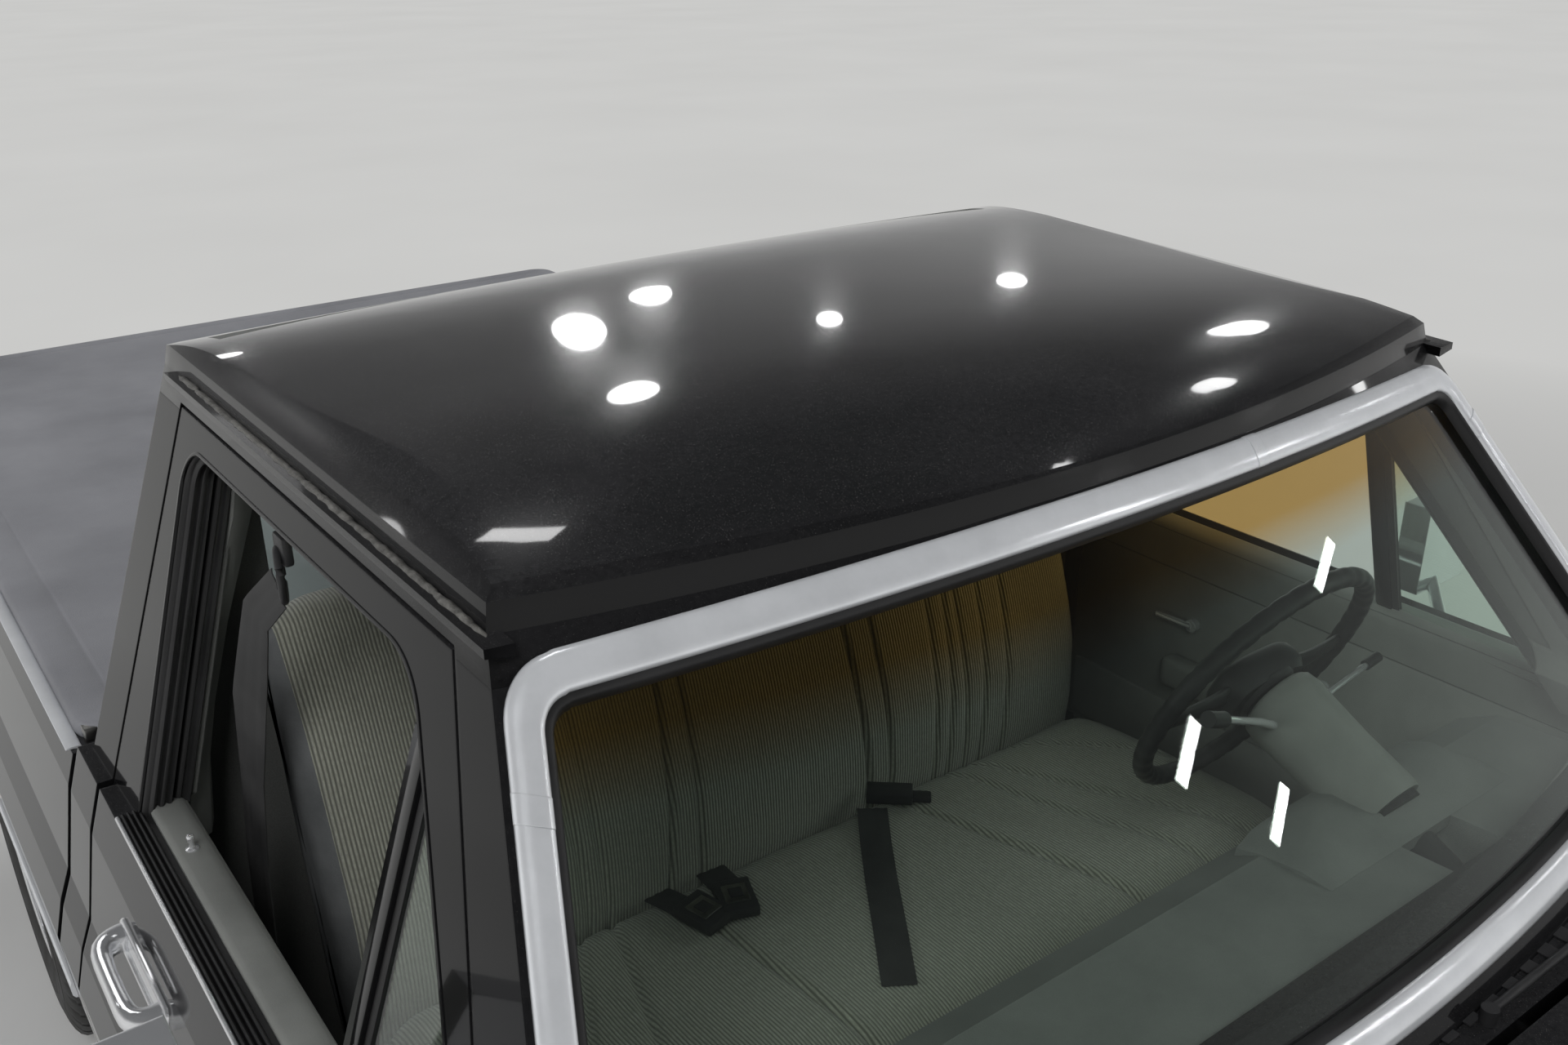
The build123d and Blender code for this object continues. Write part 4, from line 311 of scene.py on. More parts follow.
def tyre_material(name):
    """Tyre rubber with dust."""
    m, n = new_material(name)
    dust = n.cloud(14, 4, 0.6, 0.4, 0.75)
    n.shade(n.mix(n.mul(dust, 0.5), 0.011, (0.045, 0.043, 0.040)),
            n.blend(dust, 0.52, 0.75), n.bump(n.noise(380, 4, 0.6), 0.3, 0.0008))
    return m


PAINT = paint_material("paint_black")
PAINT_SHELL = paint_material("paint_shell", "shell")
PAINT_ROOF = paint_material("paint_roof", "shell", 0.045, 0.85)
PAINT_DOOR = paint_material("paint_door", "door")
CHROME = metal_material("chrome_plate", (0.93, 0.94, 0.96), 0.03, 0.08, 0.94, 9, 0.02, 0.004, 0.8)
TRIM = metal_material("anodised_trim", (0.88, 0.90, 0.93), 0.12, 0.24, 0.86, 11, 0.01, metal=0.45)
STEEL = metal_material("dull_steel", (0.46, 0.45, 0.43), 0.28, 0.5, 0.52, 24, 0.28)
MIRROR = metal_material("mirror_glass", (0.88, 0.9, 0.9), 0.01, 0.02, scale=5)
CAST = plain_material("cast_iron", (0.036, 0.035, 0.034), (0.115, 0.098, 0.084), 0.75, 220, 0.6, 0.0015, 9,
                      0.003)
CHASSIS = plain_material("chassis_black", 0.012, (0.040, 0.037, 0.034), 0.5, 120, 0.35, 0.001, 5,
                         0.003)
RUBBER = plain_material("black_rubber", 0.010, (0.026, 0.026, 0.027), 0.42, 900, 0.2)
DARK = plain_material("dark_plastic", (0.014, 0.014, 0.015), (0.032, 0.032, 0.033), 0.4, 700, 0.35)
GREY = plain_material("grey_plastic", (0.150, 0.156, 0.148), (0.215, 0.222, 0.210), 0.5, 650, 0.45)
DASH = plain_material("dash_vinyl", (0.110, 0.116, 0.112), (0.170, 0.177, 0.170), 0.6, 480, 0.6, 0.001)
CARPET = plain_material("floor_carpet", (0.020, 0.020, 0.019), (0.060, 0.060, 0.056), 0.95, 900, 1.0, 0.004,
                        sheen=0.4)
WEBBING = plain_material("belt_webbing", (0.022, 0.022, 0.023), 0.060, 0.7, 1300, 0.6)
SIDE_VINYL = plain_material("seat_side_vinyl", (0.085, 0.090, 0.092), (0.150, 0.156, 0.158), 0.55, 420, 0.5,
                            0.001, 22)
SEAL = plain_material("sealant", (0.025, 0.025, 0.024), (0.22, 0.215, 0.20), 0.35, 260, 0.9, 0.002, 90)
CLOTH = cloth_material("ribbed_cloth")
VINYL = vinyl_material("cover_vinyl")
GLASS = glass_material("tinted_glass", (0.78, 0.89, 0.82))
SCREEN_GLASS = glass_material("windshield_glass", (0.78, 0.90, 0.82), band=True)
RED = lens_material("red_lens", (0.42, 0.006, 0.006))
AMBER = lens_material("amber_lens", (0.62, 0.16, 0.01))
CLEAR = lens_material("clear_lens", (0.80, 0.82, 0.83), 0.35)
TYRE = tyre_material("tyre_rubber")

FINISH = {
    "body_black": PAINT, "chrome": CHROME, "bright_trim": TRIM, "tinted_glass": GLASS, "lamp_glass": CLEAR,
    "red_lens": RED, "interior_plastic": DASH, "interior_dark": DARK, "seat_cloth": CLOTH,
    "cover_vinyl": VINYL, "frame_steel": CHASSIS, "cast_metal": CAST, "exhaust_steel": STEEL, "tyre": TYRE,
    "black_rubber": RUBBER,
}
OWN = {
    "cab_roof": PAINT_ROOF, "windshield_pillars": PAINT_SHELL, "cab_back": PAINT_SHELL,
    "door_left": PAINT_DOOR, "door_right": PAINT_DOOR, "windshield": SCREEN_GLASS, "cab_floor": CARPET,
}
slot_of = {part["node"]: part["material_slot"] for part in frame["record"]["subparts"]}
for node_name, node in NODES.items():
    material = OWN.get(node_name) or FINISH[slot_of[node_name]]
    if not node.material_slots:
        node.data.materials.append(material)
    for place in node.material_slots:
        place.material = material

# Slot of a scene piece, by its material
SLOTS = {material.name: slot for slot, material in FINISH.items()}
SLOTS.update({
    "mirror_glass": "chrome", "grey_plastic": "interior_plastic", "belt_webbing": "interior_dark",
    "sealant": "body_black", "windshield_glass": "tinted_glass", "amber_lens": "lamp_glass",
})


# ---------- meshes

def new_object(name, data):
    """An object in the scene."""
    item = bpy.data.objects.new(name, data)
    scene.collection.objects.link(item)
    return item


def merged(parts):
    """Several vertex and face lists as one."""
    verts, faces = [], []
    for v, f in parts:
        base = len(verts)
        verts += list(v)
        faces += [tuple(i + base for i in face) for face in f]
    return verts, faces


def make(name, shape, material, body="chassis", angle=40, slot=None):
    """A mesh piece that rides on a body, of one shape or a list of them."""
    verts, faces = merged(shape) if isinstance(shape, list) else shape
    mesh = bpy.data.meshes.new(name)
    mesh.from_pydata([tuple(map(float, v)) for v in verts], [], [tuple(map(int, f)) for f in faces])
    mesh.validate()
    bm = bmesh.new()
    bm.from_mesh(mesh)
    bmesh.ops.remove_doubles(bm, verts=bm.verts, dist=1e-6)
    bmesh.ops.recalc_face_normals(bm, faces=bm.faces)
    bm.to_mesh(mesh)
    bm.free()
    mesh.materials.append(material)
    piece = new_object(name, mesh)
    mesh.polygons.foreach_set("use_smooth", [True] * len(mesh.polygons))
    mesh.set_sharp_from_angle(angle=math.radians(angle))
    slot = slot or SLOTS[material.name]
    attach(piece, body)
    return piece


def loops_mesh(loops, closed=False, caps=True):
    """Vertices and faces through a row of equal closed loops."""
    count, rows = len(loops[0]), len(loops)
    verts = [v for loop in loops for v in loop]
    faces = []
    for i in range(rows if closed else rows - 1):
        a, b = i * count, ((i + 1) % rows) * count
        for j in range(count):
            k = (j + 1) % count
            faces.append((a + j, a + k, b + k, b + j))
    if caps and not closed:
        faces.append(tuple(range(count - 1, -1, -1)))
        faces.append(tuple((rows - 1) * count + j for j in range(count)))
    return verts, faces


def fan(base, count, tip):
    """Triangles from a loop of vertices to one vertex."""
    return [(base + j, base + (j + 1) % count, tip) for j in range(count)]


def box_part(low, high, radius, steps=2):
    """Box with bevelled edges, as vertices and faces."""
    bm = bmesh.new()
    bmesh.ops.create_cube(bm, size=1.0)
    size = [abs(b - a) for a, b in zip(low, high)]
    centre = [(a + b) / 2 for a, b in zip(low, high)]
    for v in bm.verts:
        v.co = Vector([c + s * p for c, s, p in zip(centre, size, v.co)])
    bmesh.ops.bevel(bm, geom=bm.edges[:], offset=radius, segments=steps, affect="EDGES", profile=0.5)
    bm.verts.index_update()
    verts = [tuple(v.co) for v in bm.verts]
    faces = [tuple(v.index for v in f.verts) for f in bm.faces]
    bm.free()
    return verts, faces


def turned_box(centre, size, turn, radius=0.003, tilt=0.0):
    """Bevelled box turned about the vertical and tipped."""
    verts, faces = box_part([-s / 2 for s in size], [s / 2 for s in size], radius)
    spin = Matrix.Rotation(turn, 3, "Z") @ Matrix.Rotation(tilt, 3, "X")
    return [tuple(spin @ Vector(v) + Vector(centre)) for v in verts], faces


def oval(count, half_u, half_v, power=1.0):
    """Points of an ellipse; a power under 1 makes it squarer."""
    points = []
    for k in range(count):
        c, s = math.cos(TURN * k / count), math.sin(TURN * k / count)
        points.append((half_u * math.copysign(abs(c) ** power, c),
                       half_v * math.copysign(abs(s) ** power, s)))
    return points


def rounded_rectangle(u, v, half_u, half_v, radius, steps=6):
    """Points round a rectangle with round corners."""
    points = []
    for su, sv, start in ((1, 1, 0), (-1, 1, 90), (-1, -1, 180), (1, -1, 270)):
        for k in range(steps + 1):
            t = math.radians(start + 90 * k / steps)
            points.append((u + su * (half_u - radius) + radius * math.cos(t),
                           v + sv * (half_v - radius) + radius * math.sin(t)))
    return points


def stepped(rows, centre, halves, corner, least, place):
    """Loops of a rounded plate or ring, drawn in by the inset of each row and put at its height."""
    loops = []
    for inset, out in rows:
        radius = max(least, corner - inset)
        outline = rounded_rectangle(*centre, halves[0] - inset, halves[1] - inset, radius)
        loops.append([place(u, v, out) for u, v in outline])
    return loops


def sweep_part(path, profile, up, closed=False):
    """Profile (across, up) carried along a path."""
    points = [Vector(p) for p in path]
    loops = []
    total = len(points)
    for i, p in enumerate(points):
        before = points[i - 1] if (i or closed) else points[0]
        after = points[(i + 1) % total] if (i < total - 1 or closed) else points[-1]
        along = (after - before).normalized()
        rise = (Vector(up) - along * Vector(up).dot(along)).normalized()
        across = along.cross(rise)
        loops.append([tuple(p + across * a + rise * b) for a, b in profile])
    return loops_mesh(loops, closed)


def tube_part(path, radius, count=10, closed=False):
    """Round bar along a path."""
    return sweep_part(path, oval(count, radius, radius), (0.13, 0.21, 0.97), closed)


def spin_part(profile, centre, axis="x", count=64, flip=1):
    """Closed profile of (along axis, radius) spun round an axis through a centre."""
    loops = []
    for c, s in oval(count, 1, 1):
        loop = []
        for a, r in profile:
            p = [r * c, r * s]
            p.insert("xyz".index(axis), flip * a)
            loop.append(tuple(q + d for q, d in zip(centre, p)))
        loops.append(loop)
    return loops_mesh(loops, closed=True)


def mirrored(sign, rows):
    """Points of the driver's side, or with sign -1 of the other side."""
    return [(sign * x, y, z) for x, y, z in rows]


def rounded_path(corners, radii, steps):
    """Closed plane outline with an arc at each corner, and the outward direction at each point."""
    points, normals = [], []
    total = len(corners)
    for i in range(total):
        p = np.array(corners[i], float)
        a = np.array(corners[i - 1], float) - p
        b = np.array(corners[(i + 1) % total], float) - p
        ua, ub = a / np.linalg.norm(a), b / np.linalg.norm(b)
        turn = math.acos(max(-1, min(1, float(ua @ ub))))
        reach = radii[i] / math.tan(turn / 2)
        bisector = (ua + ub) / np.linalg.norm(ua + ub)
        centre = p + bisector * radii[i] / math.sin(turn / 2)
        start, end = p + ua * reach - centre, p + ub * reach - centre
        t0 = math.atan2(start[1], start[0])
        t1 = math.atan2(end[1], end[0])
        delta = (t1 - t0 + math.pi) % TURN - math.pi
        for k in range(steps + 1):
            t = t0 + delta * k / steps
            normal = np.array([math.cos(t), math.sin(t)])
            points.append(centre + radii[i] * normal)
            normals.append(normal)
    return points, normals


def filled_in(points, normals, step):
    """The same closed path with points added on its long runs."""
    out_p, out_n = [], []
    total = len(points)
    for i in range(total):
        p, q = points[i], points[(i + 1) % total]
        m, n = normals[i], normals[(i + 1) % total]
        count = max(1, int(np.linalg.norm(q - p) / step))
        for share in (k / count for k in range(count)):
            out_p.append(p + (q - p) * share)
            normal = m + (n - m) * share
            out_n.append(normal / np.linalg.norm(normal))
    return out_p, out_n


# ---------- windshield and its moulding

def screen_point(x, z, height):
    """Point at a height over the windshield's surface."""
    d = 0.001
    dx = (screen(x + d, z) - screen(x - d, z)) / (2 * d)
    dz = (screen(x, z + d) - screen(x, z - d)) / (2 * d)
    return tuple(Vector((x, screen(x, z), z)) + Vector((dx, -1.0, dz)).normalized() * height)


def screen_outline():
    """Edge of the windshield opening as x and z, with outward directions."""
    low, high = (side(pillar_y(z), z) - 0.038 for z in (SCREEN_LOW, SCREEN_CORNER))
    corners = [(-low, SCREEN_LOW), (low, SCREEN_LOW), (high, SCREEN_CORNER), (-high, SCREEN_CORNER)]
    points, normals = filled_in(*rounded_path(corners, [0.032] * 4, 12), 0.02)
    for p in points:
        if p[1] >= SCREEN_CORNER:
            p[1] += max(0.0, (SCREEN_CROWN - SCREEN_CORNER) * (1 - (p[0] / high) ** 2))
    return points, normals


def screen_ring(profile, places=None):
    """Section (outward from the opening's edge, over the surface) run round the windshield."""
    points, normals = screen_outline()
    total = len(points)
    loops = []
    for i in places or range(total):
        p, n = points[i % total], normals[i % total]
        loops.append([screen_point(p[0] + n[0] * out, p[1] + n[1] * out, height) for out, height in profile])
    return loops_mesh(loops, closed=places is None)


def screen_glass():
    """Smooth laminated glass under the moulding, bowed as the screen is."""
    middle_z = 1.42
    points, _ = screen_outline()
    shares = [1.0, 0.994] + [0.97 - 0.97 * k / 26 for k in range(26)]
    outer, inner = -0.012, -0.018
    rows = []
    for depth, order in ((outer, shares[::-1]), (inner, shares)):
        rows += [[screen_point(p[0] * 0.9985 * share, middle_z + (p[1] - middle_z) * 0.9975 * share, depth)
                  for p in points] for share in order]
    verts, faces = loops_mesh(rows, caps=False)
    count = len(points)
    for base, depth in ((0, outer), ((len(rows) - 1) * count, inner)):
        verts.append(screen_point(0.0, middle_z, depth))
        faces += fan(base, count, len(verts) - 1)
    return verts, faces


def moulding_joint(x, z):
    """Short sleeve over a joint of the moulding."""
    points, _ = screen_outline()
    nearest = min(range(len(points)), key=lambda i: (points[i][0] - x) ** 2 + (points[i][1] - z) ** 2)
    wide = [(out * 1.02 - 0.0003, height + 0.0009) for out, height in MOULDING]
    return screen_ring(wide, range(nearest, nearest + 2))


MOULDING = mm((0, -10), (0, 3), (1.2, 5.8), (4, 7.4), (9, 8.3), (16, 8.6),
              (22, 8), (26.5, 6.2), (29.3, 3), (30, 0), (28, -2), (12, -4))
trim = make("screen_moulding", screen_ring(MOULDING), TRIM, angle=70)
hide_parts("windshield_trim")
glass = make("windshield_glass", screen_glass(), SCREEN_GLASS, angle=60)
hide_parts("windshield")
SEAL_SECTION = mm((0.8, 2.2), (-4, 2.2), (-7, -1), (-8.5, -11.5), (0.8, -11.5))
make("screen_seal", screen_ring(SEAL_SECTION), RUBBER, angle=50)
make("moulding_joints", [moulding_joint(x, z) for x, z in mm((-660, 1535), (218, 1627), (660, 1535))], TRIM)


# ---------- seat

SEAT_HALF = 0.690
BACK_SEAMS = mm((-190, -206, 10), (-147, -151, 8), (162, 173, 10), (213, 219, 8))
PLEATS = mm((326, 315), (361, 347), (388, 384), (436, 422), (488, 474))
CUSHION_SEAMS = mm((-213, -232, -194, -433), (189, -121, 294, -495))
CUSHION_PLEATS = mm((319, -102, 428, -457), (367, -95, 503, -393), (452, -95, 616, -277))


def groove(distance, depth, width):
    """Depth of a sewn channel at a distance from its line."""
    return depth * math.exp(-(distance / width) ** 2)


def wobble(x, y, z, scale, size):
    """Gentle unevenness."""
    return noise.noise(Vector((x * scale, y * scale, z * scale))) * size


def soft_prism(outline, half, press, stations=400, corner=0.085):
    """Closed soft form: an outline in y and z carried across, drawn in towards both ends."""
    rough = []
    total = len(outline)
    for i in range(total):
        a, b, c = (np.array(outline[k % total]) for k in (i - 1, i, i + 1))
        for t in (k / 6 for k in range(6)):
            rough.append((1 - t) ** 2 * (a + b) / 2 + 2 * t * (1 - t) * b + t * t * (b + c) / 2)
    points = []
    for i, p in enumerate(rough):
        q = rough[(i + 1) % len(rough)]
        steps = max(1, int(np.linalg.norm(q - p) / 0.012))
        points += [p + (q - p) * k / steps for k in range(steps)]
    middle = sum(points) / len(points)
    count = len(points)
    normals = []
    for j, p in enumerate(points):
        tangent = points[(j + 1) % count] - points[j - 1]
        tangent = tangent / np.linalg.norm(tangent)
        normal = np.array([tangent[1], -tangent[0]])
        normals.append(-normal if normal @ (p - middle) < 0 else normal)
    xs = [-half + 2 * half * k / stations for k in range(stations + 1)]
    edge = [0.0, 0.0015, 0.005, 0.011, 0.020, 0.032]
    xs = [-half + e for e in edge] + [x for x in xs if abs(x) < half - 0.04] + [half - e for e in edge[::-1]]
    loops = []
    for x in xs:
        gap = half - abs(x)
        draw = corner * (1 - math.sqrt(max(0.0, 1 - (1 - gap / corner) ** 2))) if gap < corner else 0.0
        moved = [p - n * (press(x, p[0], p[1], n) + draw * 0.8) for p, n in zip(points, normals)]
        loops.append([(x, y, z) for y, z in moved])
    verts, faces = loops_mesh(loops, caps=False)
    for base, order in ((0, -1), ((len(loops) - 1) * count, 1)):
        ring = [Vector(v) for v in verts[base:base + count]]
        centre = sum(ring, Vector()) / count
        rows = [base]
        for share in (0.8, 0.5, 0.2):
            rows.append(len(verts))
            verts += [tuple(centre + (p - centre) * share) for p in ring]
        verts.append(tuple(centre))
        for a, b in zip(rows, rows[1:]):
            for j in range(count):
                k = (j + 1) % count
                faces.append((a + j, a + k, b + k, b + j)[::order])
        faces += [tri[::order] for tri in fan(rows[-1], count, len(verts) - 1)]
    return verts, faces


def back_press(x, y, z, normal):
    """How far the cover of the seat back is drawn in at a point."""
    depth = 0.004 + wobble(x, y, z, 6, 0.003) + wobble(x, y, z, 25, 0.0007)
    if normal[0] < -0.2 or normal[1] > 0.5:
        share = (1.095 - z) / 0.210
        for high, low, deep in BACK_SEAMS:
            depth += groove(x - (high + (low - high) * share), deep, 0.0045)
        if z < 1.335:
            for sign in (1, -1):
                for high, low in PLEATS:
                    depth += groove(sign * x - (high + (low - high) * share), 0.006, 0.006)
        rib = math.sin(min(1.0, max(0.0, (z - 0.9) / 0.42)) * math.pi)
        depth -= 0.004 * rib * (1 - min(1.0, abs(abs(x) - 0.43) / 0.24))
        depth += groove(z - 1.335, 0.006, 0.006) * (0.235 < abs(x) < 0.60)
    return depth


def cushion_press(x, y, z, normal):
    """How far the cover of the bench is drawn in at a point."""
    depth = 0.004 + wobble(x, y, z, 6, 0.0035) + wobble(x, y, z, 25, 0.0007)
    if normal[1] > 0.4:
        for lines, signs, deep in ((CUSHION_SEAMS, (1,), 0.010), (CUSHION_PLEATS, (1, -1), 0.006)):
            for x0, y0, x1, y1 in lines:
                at = x0 + (x1 - x0) * (y - y0) / (y1 - y0)
                for sign in signs:
                    depth += groove(sign * x - at, deep, 0.006)
        dip = math.exp(-((y + 0.30) / 0.13) ** 2)
        for seat in (-0.43, 0.42):
            depth += 0.006 * dip * math.exp(-((x - seat) / 0.16) ** 2)
    return depth + (groove(z - 0.842, 0.004, 0.004) if normal[0] < -0.6 else 0)


def seat_piece(name, outline, press, node):
    """Padded form in cloth, with vinyl ends and back, inside its CAD node's box."""
    verts, faces = soft_prism(outline, SEAT_HALF - 0.004, press)
    low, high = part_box(node)
    kept = [tuple(min(high[i] - 0.0005, max(low[i] + 0.0005, v[i])) for i in range(3)) for v in verts]
    piece = make(name, (kept, faces), CLOTH, angle=80)
    piece.data.materials.append(SIDE_VINYL)
    for face in piece.data.polygons:
        if abs(face.center.x) > SEAT_HALF - 0.030 or face.normal.y > 0.75:
            face.material_index = 1
    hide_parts(node)


seat_piece("seat_back_cushion", mm(
    (-100.5, 870.5), (-99, 930), (-92, 1020), (-20, 1240), (34, 1352), (72, 1398), (135, 1388), (155, 1320),
    (120, 1050), (70, 705), (-84, 705), (-90, 800)), back_press, "seat_back")
seat_piece("seat_bench_cushion", mm(
    (-575, 702), (-577, 800), (-573, 872), (-512, 893), (-400, 890), (-250, 884), (-100, 872), (-93, 800),
    (-88, 702), (-300, 700)), cushion_press, "seat_cushion")


def strap_part(path, width, across, thick=0.0016, steps=8):
    """Flat webbing along a path; across gives the width's direction at each point."""
    points, sides = [Vector(p) for p in path], [Vector(a) for a in across]
    dense, wides = [], []
    for i in range(len(points) - 1):
        for t in (k / steps for k in range(steps)):
            dense.append(points[i].lerp(points[i + 1], t))
            wides.append(sides[i].lerp(sides[i + 1], t).normalized())
    dense.append(points[-1])
    wides.append(sides[-1].normalized())
    loops = []
    for i, p in enumerate(dense):
        along = (dense[min(len(dense) - 1, i + 1)] - dense[max(0, i - 1)]).normalized()
        wide = (wides[i] - along * wides[i].dot(along)).normalized()
        up = wide.cross(along)
        above, below = [], []
        for s in (k / steps - 0.5 for k in range(steps + 1)):
            sag = 0.0008 * math.cos(s * math.pi * 6)
            above.append(tuple(p + wide * width * s + up * (thick / 2 + sag)))
            below.append(tuple(p + wide * width * s - up * (thick / 2 - sag)))
        loops.append(above + below[::-1])
    return loops_mesh(loops)


LAP_SPOTS = [(0.133, -0.149), (0.080, -0.222), (0.030, -0.294), (-0.034, -0.390), (-0.098, -0.485)]
make("lap_belts", [
    strap_part([(x, y, 0.8895 + 0.002 * math.sin(9 * y)) for x, y in LAP_SPOTS], 0.048, [(0.8, 0.6, 0)] * 5),
    strap_part(mm((-172, -217, 892), (-160, -165, 888), (-150, -112, 876)), 0.046, [(1, 0.2, 0)] * 3),
    strap_part(mm((-232, -214, 892), (-238, -165, 888), (-244, -112, 876)), 0.046, [(1, -0.1, 0)] * 3),
], WEBBING, angle=60)
BUCKLES = ((-0.228, -0.214, 0.900, 0.25), (-0.175, -0.217, 0.901, -0.35))
make("belt_buckles", [turned_box((x, y, z), (0.054, 0.072, 0.018), turn) for x, y, z, turn in BUCKLES] + [
    turned_box((0.172, -0.145, 0.898), (0.040, 0.074, 0.018), 0.85),
    turned_box((0.205, -0.178, 0.896), (0.030, 0.040, 0.006), 0.85),
], DARK)
make("buckle_buttons", [turned_box((x, y, z + 0.0095), (0.036, 0.040, 0.003), turn, 0.001)
                        for x, y, z, turn in BUCKLES], STEEL, slot="chrome")
make("buckle_slots", [turned_box((x, y, z + 0.0115), (0.020, 0.020, 0.002), turn, 0.0006)
                      for x, y, z, turn in BUCKLES], DARK)


# ---------- bed cover

cover_low, cover_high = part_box("bed_cover")


def cover_piece():
    """Stretched vinyl: a thin skin over the frame, its edge folded down all round."""
    x0, y0 = cover_low.x, cover_low.y
    x1, y1, top = cover_high.x, cover_high.y, cover_high.z - 0.0015
    cx, cy = (x0 + x1) / 2, (y0 + y1) / 2

    def ring(inset):
        points = rounded_rectangle(cx, cy, (x1 - x0) / 2 - inset, (y1 - y0) / 2 - inset,
                                   max(0.012, 0.055 - inset), 8)
        out = []
        for i, (x, y) in enumerate(points):
            u, v = points[(i + 1) % len(points)]
            count = 40 if i % 9 == 8 else 1
            out += [(x + (u - x) * k / count, y + (v - y) * k / count) for k in range(count)]
        return out

    def height(x, y):
        inner = min(x - x0, x1 - x, y - y0, y1 - y)
        share = min(1.0, max(0.0, (inner - 0.06) / 0.25))
        sag = 0.5 - 0.5 * math.cos((y - y0) / (y1 - y0) * TURN * 4)
        return -0.0045 * share * sag - 0.001 * share + share * wobble(x, y, 0.0, 3.0, 0.0012)

    loops = []
    for inset, drop in mm((0, -23.5), (0, -12), (1.6, -5.2), (5.2, -1.6), (12, 0), (28, 0.4), (55.5, 0.4),
                          (58, -1.2), (60.5, 0.4), (66, 0.5)):
        loops.append([(x, y, top + drop) for x, y in ring(inset)])
    for share in np.linspace(0.06, 1.0, 22)[:-1]:
        flat = [(x + (cx - x) * share, y + (cy - y) * share) for x, y in ring(0.066)]
        loops.append([(x, y, top + height(x, y)) for x, y in flat])
    count = len(loops[0])
    verts, faces = loops_mesh(loops, caps=False)
    faces += fan((len(loops) - 1) * count, count, len(verts))
    verts.append((cx, cy, top - 0.001))
    outer = len(verts)
    verts += [(v[0] * 0.9994, v[1], v[2] - 0.0012) for v in verts]
    faces += [tuple(i + outer for i in reversed(f)) for f in faces]
    for j in range(count):
        k = (j + 1) % count
        faces.append((k, j, j + outer, k + outer))
    return verts, faces


cover = make("bed_cover_vinyl", cover_piece(), VINYL, angle=75)
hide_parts("bed_cover")
foot = cover_low.z + 0.0005
bows = []
for k in range(1, 4):
    middle = cover_low.y + (cover_high.y - cover_low.y) * k / 4
    bows.append(box_part((-0.83, middle - 0.018, foot), (0.83, middle + 0.018, cover_high.z - 0.011), 0.004))
head = cover_high.z - 0.0065
for _, sign in SIDES:
    bows.append(box_part((sign * 0.878, cover_low.y + 0.01, foot),
                         (sign * 0.828, cover_high.y - 0.012, head), 0.003))
for y in (cover_low.y + 0.006, cover_high.y - 0.046):
    bows.append(box_part((-0.83, y, foot), (0.83, y + 0.04, head), 0.003))
make("cover_frame", bows, STEEL, slot="frame_steel")
RAIL = mm((-10.5, 0), (-10.5, 1.2), (-6, 3.2), (6, 3.2), (9.8, 1), (9.8, -2.2), (6, -2.8), (0, 0))
for label, sign in SIDES:
    path = [(sign * 0.8945, y, 1.1685) for y in np.linspace(0.300, 2.290, 40)]
    make("bed_rail_moulding_" + label, sweep_part(path, RAIL, (0, 0, 1)), TRIM)


# ---------- door windows, sills and pillars

# Sections of (inward or forward, depth under the side plane)
CHANNEL = mm((-1, 3), (2.5, 3), (4.5, 5.5), (5, 9), (10.5, 10), (12.5, 12.5), (11.5, 15), (5.5, 16),
             (5.5, 20), (11.5, 21), (12.5, 23.5), (11.5, 26), (6, 27), (6, 31), (9.5, 32.5), (9.5, 35.5),
             (5, 37.2), (-1, 37.2))
BEAD = mm((-3.5, -1.2), (0.2, -1.2), (1.2, 0.6), (1.2, 3), (-1, 3), (-3.5, 0.4))
JAMB = mm((-10, 42), (-4, 42), (-1.5, 45), (-1.5, 50), (-6, 52), (-6, 55.5), (-2, 57.5), (-2, 62.5),
          (-5.5, 64.5), (-10, 65))
BAR = mm((-12.5, 5), (12.5, 5), (15, 7.5), (15, 25), (12.5, 27.2), (-12.5, 27.2))
VENT_SEAL = mm((-9, 11.5), (-2, 9.5), (1.8, 11), (1.8, 22.5), (-9, 21.5), (-7, 16.5))
# Sections of (across, height)
RIBS = mm((888.5, 1186)) + [
    (x + out, z) for x in (0.8860, 0.8795, 0.8730, 0.8665)
    for out, z in mm((1.8, 1186.2), (1.2, 1191.5), (-0.8, 1192.5), (-2.6, 1190.5))] + mm((862.5, 1186))
BELT_TRIM = mm((893.8, 1185.5), (894.2, 1188.5), (892.5, 1190.8), (890, 1190.8), (888.4, 1188.5),
               (888.4, 1185.5))
GLASS_SLOT = mm((862.5, 1185.5), (862.5, 1186.6), (856, 1186.6), (856, 1185.5))
TOP_PAD = mm((856, 1185.5), (856, 1193), (853, 1196), (848, 1196.8), (826, 1195), (817, 1191.5),
             (810.5, 1184), (807.5, 1172), (806.8, 1145), (807.2, 1120), (811.2, 1118), (811.2, 1185.5))
KNOB = mm((0, 4), (0, 7.5), (3, 7.8), (4, 3.5), (10, 2.8), (13, 4.2), (19, 4.6), (21.5, 3), (21.5, 0.5),
          (0, 0.5))
